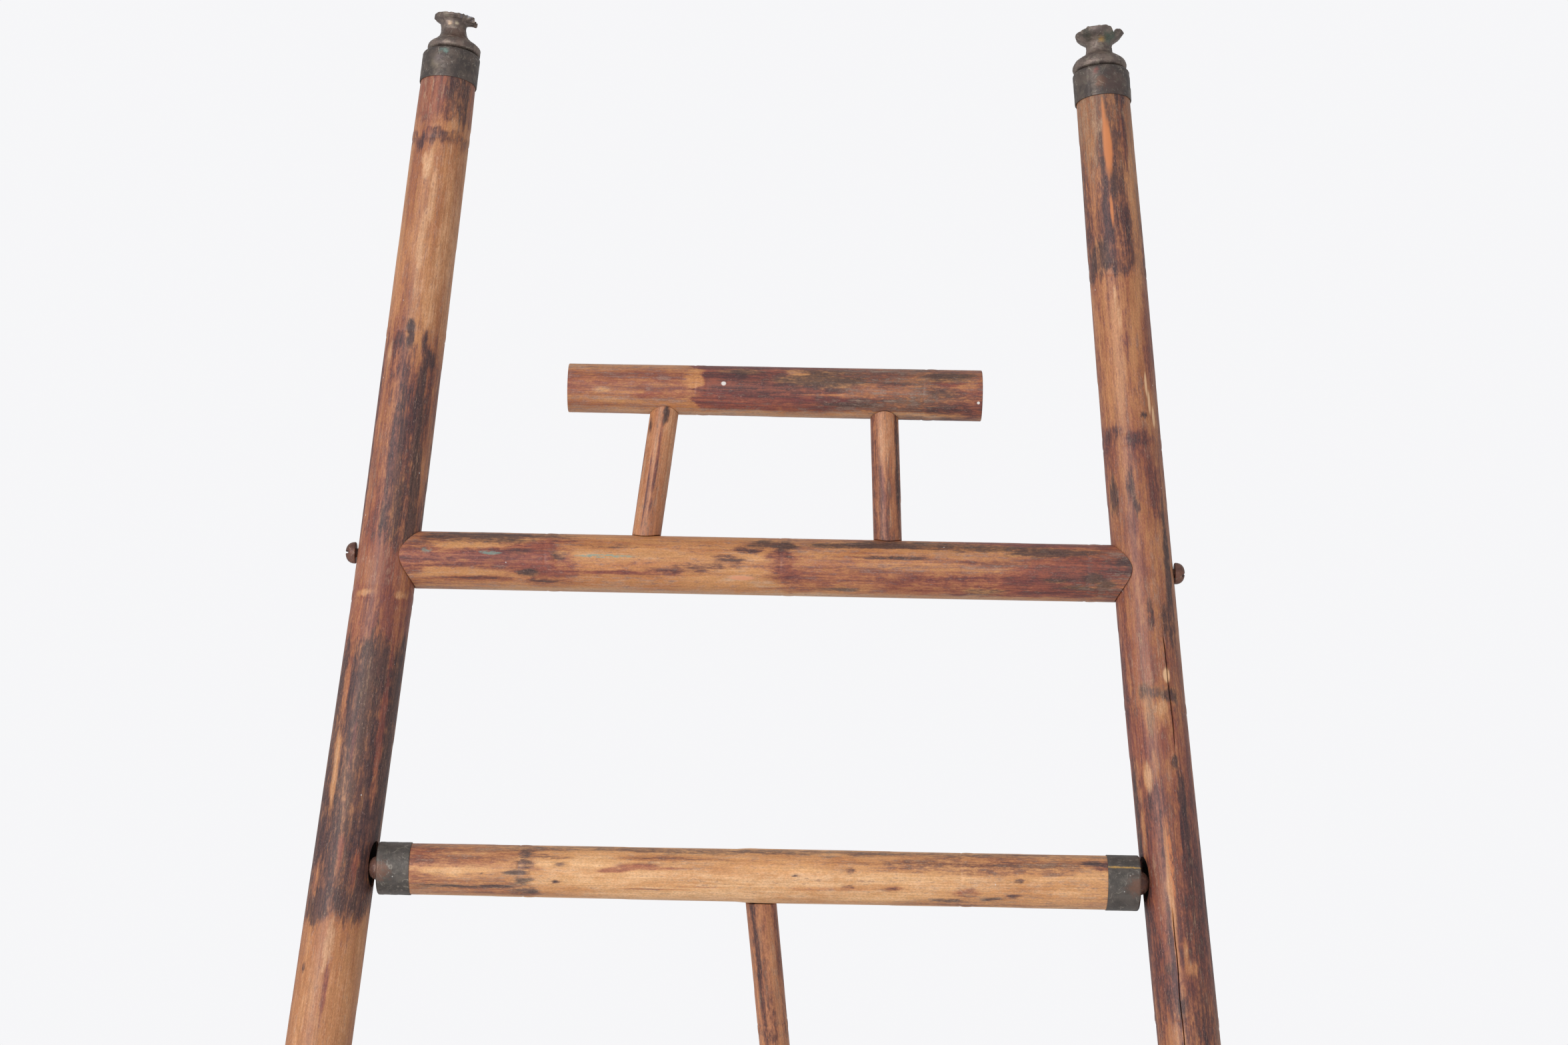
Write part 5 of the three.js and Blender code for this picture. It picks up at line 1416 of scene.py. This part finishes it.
def make_finial(side, direction):
    node = f"{side}_finial_stub"
    axes, length, radius = turned_axes(node, direction)
    height = length / MM

    def warp(angle, radii, places):
        loss, bend = rim_tears(side, angle)
        share = np.clip((places - height + RIM_BAND) / RIM_BAND, 0, 1) ** 1.5
        dented = (places > 1.0) & (places < height - 0.5)
        uneven = dents(angle, places, 500 + SIDES[side], 0.5) * dented
        sideways = (FINIAL_SHIFT[side] + FINIAL_LEAN[side] * (places - 3)) * np.sin(np.radians(angle))
        radii = np.minimum(radii + bend * share + uneven + sideways, FINIAL_LIMIT)
        return radii, places - share * loss

    stub = turned(f"{side}_finial_brass", axes, finial_outline(side, height), warp, 200)
    neck_front = axes.origin + radius * 0.5 * axes.front + FINIAL_NECK[side] * MM * axes.along
    marks = marks_from(neck_front, axes.along, FINIAL_MARKS[side])
    material = metal_material(f"{side}_finial_brass", STUB_TONES, 0.6, 18.0 + SIDES[side], marks, 1.3)
    finish(stub, "front_frame", node, material)


FERRULE_SEAM = {"left": 150.0, "right": 41.0}  # measured from the front towards the top
FERRULE_TONES = (rgb(100, 93, 88), rgb(84, 79, 75), rgb(110, 104, 95))


def ferrule_marks(side, axes, length, radius):
    """A brown patch by the pin, two specks of lint and, on the right, the bare solder of the seam."""
    outwards = SIDES[side] * RIGHT
    end = PIVOT + ((axes.origin - PIVOT) @ RIGHT + SIDES[side] * length) * RIGHT
    # a brown patch on the ferrule's front, beside the pin's dome
    marks = [(end - 2.2 * MM * outwards + 0.98 * radius * VIEWER, 4.3, PIN_SIDE_BROWN, 0.75),
             (end - 6 * MM * outwards + radius * (0.9 * VIEWER + 0.36 * VERTICAL), 0.36, LINT, 0.6),
             (end - 9 * MM * outwards + radius * (0.97 * VIEWER - 0.2 * VERTICAL), 0.3, LINT, 0.6)]
    if side == "right":
        cosine, sine = bearing(FERRULE_SEAM[side])
        seam = end - length * RIGHT + radius * (cosine * VIEWER + sine * VERTICAL)
        for share in np.linspace(0.02, 0.98, 24):
            place = seam + share * length * RIGHT - 0.5 * share * MM * VERTICAL
            marks.append((place, 0.5, BARE_BRASS, 0.85))
    return marks


def make_bar_ferrule(side):
    """The brass cap on an end of the turning bar, with a hole for the pin."""
    node = f"pivot_{side}_ferrule"
    axes, length, radius = turned_axes(node, SIDES[side] * RIGHT)
    height, outer = length / MM, radius / MM
    wall, corner, hole = 0.6, 1.3, 2.5
    outline = [(outer - wall, 0.1), (outer - 0.4 * wall, 0.0), (outer - 0.04, 0.1), (outer, 0.4)]
    outline += [(outer, place) for place in np.linspace(1.0, height - corner - 0.5, 16)]
    outline += arc(outer - corner, height - corner, corner, 0, 88, 10)
    outline += [(outer - 4, height), (hole + 3, height), (hole, height - 0.05), (hole, height - 0.8)]
    outline += [(outer - 2, height - 0.8), (outer - wall, height - 1.2), (outer - wall, height - 4)]
    seam = -SIDES[side] * FERRULE_SEAM[side]
    warp = dented_skirt(outer, height, (1.0, 1.0), 600 + SIDES[side], 0.16, 0.05, seam, (0.22, 1.5))
    ferrule = turned(f"{side}_bar_ferrule_brass", axes, outline, warp, 180)
    marks = ferrule_marks(side, axes, length, radius)
    material = metal_material(f"{side}_bar_ferrule_brass", FERRULE_TONES, 0.5, 24.0 + SIDES[side], marks)
    finish(ferrule, "rear_leg", node, material)


def make_pin(side):
    """A domed iron pin between the turning bar and a post."""
    node = f"pivot_{side}_pin"
    axes, length, radius = turned_axes(node, SIDES[side] * RIGHT)
    dome, shank = 5.6, 2.2
    height, wide = length / MM, radius / MM
    base = height - dome
    outline = [(0, 0), (shank * 0.55, 2.2), (shank, 5), (shank, base), (wide - 0.3, base), (wide, base + 0.3)]
    for turn in np.radians(np.linspace(8, 90, 18)):
        outline.append((wide * math.cos(turn) ** 0.9, base + dome * math.sin(turn)))
    outline[-1] = (0, height)
    pin = turned(f"{side}_pivot_pin_iron", axes, outline, None, 72, closed=False)
    material = metal_material(f"{side}_pivot_pin_iron", RUST_TONES, 0.35, 31.0 + SIDES[side], (), 0.8)
    finish(pin, "rear_leg", node, material)


HEAD_CROWN = 0.9  # how much further the domed head stands out than its CAD node
SLOT_TURNS = {"upper_rail": {"left": 8, "right": -14}, "lower_rail": {"left": 35, "right": -50}}


def make_screw(rail, side):
    """A slotted round-head screw through a post into a rail."""
    node = f"{rail}_{side}_screw"
    axes, length, radius = turned_axes(node, SIDES[side] * RIGHT)
    head, shank, slot_width, slot_depth = 5.8, 2.5, 1.5, 2.0
    height, wide = length / MM + HEAD_CROWN, radius / MM
    base = height - head
    outline = [(0, 0), (shank * 0.3, 2), (shank * 0.75, 6), (shank, 9), (shank, base), (wide - 0.35, base)]
    dome = [(1, 0.35 / head), (0.985, 0.3), (0.9, 0.56), (0.7, 0.8), (0.38, 0.95), (0, 1)]
    outline += through([(wide * share, base + rise * head) for share, rise in dome], 4)
    outline[-1] = (0, height)
    screw = turned(f"{node}_iron", axes, outline, None, 72, closed=False)
    turn = math.radians(SLOT_TURNS[rail][side])
    run = math.cos(turn) * VIEWER + math.sin(turn) * VERTICAL
    middle = axes.origin + (height - slot_depth + 2) * MM * axes.along
    across = np.cross(axes.along, run)
    cut(screw, box_cutter(middle, (run, across, axes.along), (8, slot_width / 2, 2)))
    material = metal_material(f"{node}_iron", RUST_TONES, 0.4, 40.0 + len(node) * 0.7, (), 0.8)
    finish(screw, "front_frame", node, material)


def box_cutter(middle, directions, half_sizes):
    """A block that cuts a slot, with its half sizes in millimetres."""
    shape = bmesh.new()
    bmesh.ops.create_cube(shape, size=2.0)
    scaled = [direction * half * MM for direction, half in zip(directions, half_sizes)]
    for vertex in shape.verts:
        vertex.co = Vector(middle + sum(v * way for v, way in zip(vertex.co, scaled)))
    bmesh.ops.recalc_face_normals(shape, faces=shape.faces)
    return object_from("block", shape)


def make_foot_ferrule(node, body, culm, low_place, top):
    """A thin brass band round a sawn foot, with a rolled top edge and a cut level with the floor."""
    _, _, radius = turned_axes(node, culm.direction(low_place))
    axes = culm.axes
    wall, bead = 1.0 * MM, 0.5 * MM
    face = floor_face(culm)
    angle = even_angles(TURNED_COLUMNS)
    down = -1.0 if top < low_place else 1.0
    rows = []

    def band(reach, share, lift=0.0):
        sole = face(angle, reach)
        place = sole + (top - sole) * share + lift
        is_skirt = 0.02 < share < 0.85
        give = np.minimum(dents(angle, place / MM, 700, 0.25) - 0.1, 0) * MM if is_skirt else 0
        rows.append(ring(axes, culm.centre(place), reach + give, place, angle))

    for share in np.linspace(0, 0.84, 14):
        band(radius - 0.5 * MM, share)
    for turn in np.radians(np.linspace(-80, 80, 9)):
        band(radius - bead + bead * math.cos(turn), 0.9, 0.9 * MM * down * math.sin(turn))
    for share in (0.955, 0.5, 0.0):
        band(radius - wall, share)
    ferrule = skin(f"{node}_brass", rows, closed=True)
    material = metal_material(f"{node}_brass", BRASS_TONES, 0.55, 50.0 + len(node), (), 1.2)
    finish(ferrule, body, node, material)


PEG_SHANK = 4.7
PEG_ARM = 6.2
PEG_FLAT = 4.3  # height of the flat that the picture rests on, above the peg's axis
KNOB_RISE = [(5.6, -5.2), (6.6, -3.6), (7.6, 0), (6.7, 4), (4.1, 6.3)]
PEG_COLLAR = [(8.0, 0.1), (9.2, 1.6), (8.2, 3.3), (6.7, 4.2), (6.2, 5.2)]


def make_peg(side, wood):
    """A turned picture peg: tail, collar, arm with a flat on top, and knob."""
    node = f"{side}_picture_peg"
    axes, length, _ = turned_axes(node, FRONT)
    axes = Axes(axes.origin, FRONT, UP, RIGHT)
    tip = length / MM
    shoulder, knob = tip - 56, tip - 7
    collar = [(PEG_SHANK + 0.4, shoulder), *((wide, shoulder + rise) for wide, rise in PEG_COLLAR)]
    arm = [(PEG_ARM, place) for place in np.linspace(shoulder + 6, knob - 7, 26)]
    ball = [(PEG_ARM, knob - 6.4), *((wide, knob + rise) for wide, rise in KNOB_RISE), (0, tip)]
    outline = [(0, 0), (PEG_SHANK - 1, 0.05), (PEG_SHANK, 1.5), (PEG_SHANK, shoulder - 0.3)]
    outline += [*through(collar, 4), *arm, *through(ball, 5)]
    outline[-1] = (0, tip)

    def warp(angle, radii, places):
        cosine, _ = bearing(angle)
        on_flat = (cosine > 0) & (places > shoulder + 5.6) & (places < knob - 7.2)
        flat = np.where(on_flat, PEG_FLAT / np.maximum(cosine, 1e-3), np.inf)
        return np.minimum(radii, flat), places

    peg = turned(f"{node}_wood", axes, outline, warp, 96, closed=False)
    finish(peg, f"{side}_peg", node, wood)


# ----------------------------------------------------------------------------------------------
# Assembly
# ----------------------------------------------------------------------------------------------
posts = {side: make_post(side) for side in SIDES}
upper_rail = make_rail("upper_rail", posts, 41)
make_rail("lower_rail", posts, 47)
crest = make_crest()
for side in SIDES:
    make_strut(side, upper_rail, crest)
leg = make_leg(make_bar())
turned_wood = wood_material("turned_wood", rgb(150, 98, 64), rgb(92, 56, 40), 4.0, 0.28)
for side, post in posts.items():
    _, top = node_span(f"{side}_post_collar", UPRIGHT)
    make_collar(side, post.direction(top))
    make_finial(side, post.direction(top))
    make_bar_ferrule(side)
    make_pin(side)
    make_peg(side, turned_wood)
    make_screw("upper_rail", side)
    make_screw("lower_rail", side)
    _, foot_top = node_span(f"{side}_foot_ferrule", UPRIGHT)
    make_foot_ferrule(f"{side}_foot_ferrule", "front_frame", post, 0.0, foot_top)
leg_foot_top, _ = node_span("rear_foot_ferrule", LEG)
make_foot_ferrule("rear_foot_ferrule", "rear_leg", leg, LEG_REACH, leg_foot_top)


def dress_hidden_nodes():
    """Plain materials for the CAD nodes that stay in view inside the culms."""
    plug_wood = wood_material("plug_wood", rgb(190, 156, 112), rgb(146, 108, 70), 2.0, 0.6)
    hidden_iron = metal_material("hidden_iron", RUST_TONES, 0.5, 60.0)
    for name, node in frame["nodes"].items():
        if not node.hide_render:
            node.data.materials.clear()
            node.data.materials.append(hidden_iron if "screw" in name or "nail" in name else plug_wood)


dress_hidden_nodes()

# ----------------------------------------------------------------------------------------------
# Floor, light and camera
# ----------------------------------------------------------------------------------------------
FLOOR_RADIUS = 4.6
CAMERA_RIGHT = 0.01
CAMERA_HEIGHT = 1.2125
CAMERA_DISTANCE = 1.756  # from the frame's plane at the camera's height
CAMERA_ROLL = 1.15
LENS = 73.47
SENSOR = 36.0
WALL_WHITE = (0.925, 0.925, 0.94, 1.0)
ROOM_LIGHT = 0.6  # strength of the white room as a light
WINDOW_PLACE = (-1.9, -3.0, 2.2)
WINDOW_SIZE = 1.8
WINDOW_POWER = 75
LIT_POINT = (0, 0, 1.1)


def make_floor():
    shape = bmesh.new()
    bmesh.ops.create_circle(shape, cap_ends=True, segments=128, radius=FLOOR_RADIUS)
    floor = object_from("floor", shape)
    shader = Shader("floor_paint")
    shader.feed(shader.surface.inputs["Base Color"], rgb(243, 243, 243))
    shader.feed(shader.surface.inputs["Roughness"], 0.7)
    floor.data.materials.append(shader.material)


def make_window():
    """A soft square light on the left, in front of the easel."""
    data = bpy.data.lights.new("window", "AREA")
    data.size = WINDOW_SIZE
    data.energy = WINDOW_POWER
    light = new_object("window", data)
    light.location = WINDOW_PLACE
    light.rotation_euler = (Vector(LIT_POINT) - light.location).to_track_quat("-Z", "Y").to_euler()


def make_world():
    """A white studio: bright to look at, dimmer as a light so that the window shapes the poles."""
    world = bpy.data.worlds.new("studio")
    world.use_nodes = True
    tree = world.node_tree
    background = tree.nodes["Background"]
    background.inputs["Color"].default_value = WALL_WHITE
    light_path = tree.nodes.new("ShaderNodeLightPath")
    strength = tree.nodes.new("ShaderNodeMapRange")
    strength.inputs["To Min"].default_value = ROOM_LIGHT
    strength.inputs["To Max"].default_value = 1.0
    tree.links.new(light_path.outputs["Is Camera Ray"], strength.inputs["Value"])
    tree.links.new(strength.outputs["Result"], background.inputs["Strength"])
    bpy.context.scene.world = world


def make_camera():
    data = bpy.data.cameras.new("camera")
    data.sensor_width = SENSOR
    data.lens = LENS
    camera = new_object("camera", data)
    plane = FLOOR_MIDDLE[1] + CAMERA_HEIGHT * UP[1] / UP[2]
    place = Matrix.Translation((CAMERA_RIGHT, plane - CAMERA_DISTANCE, CAMERA_HEIGHT))
    level = Matrix.Rotation(math.radians(90), 4, "X")
    camera.matrix_world = place @ level @ Matrix.Rotation(math.radians(CAMERA_ROLL), 4, "Z")
    bpy.context.scene.camera = camera


make_floor()
make_world()
make_window()
make_camera()
bpy.context.scene.view_settings.view_transform = "Standard"
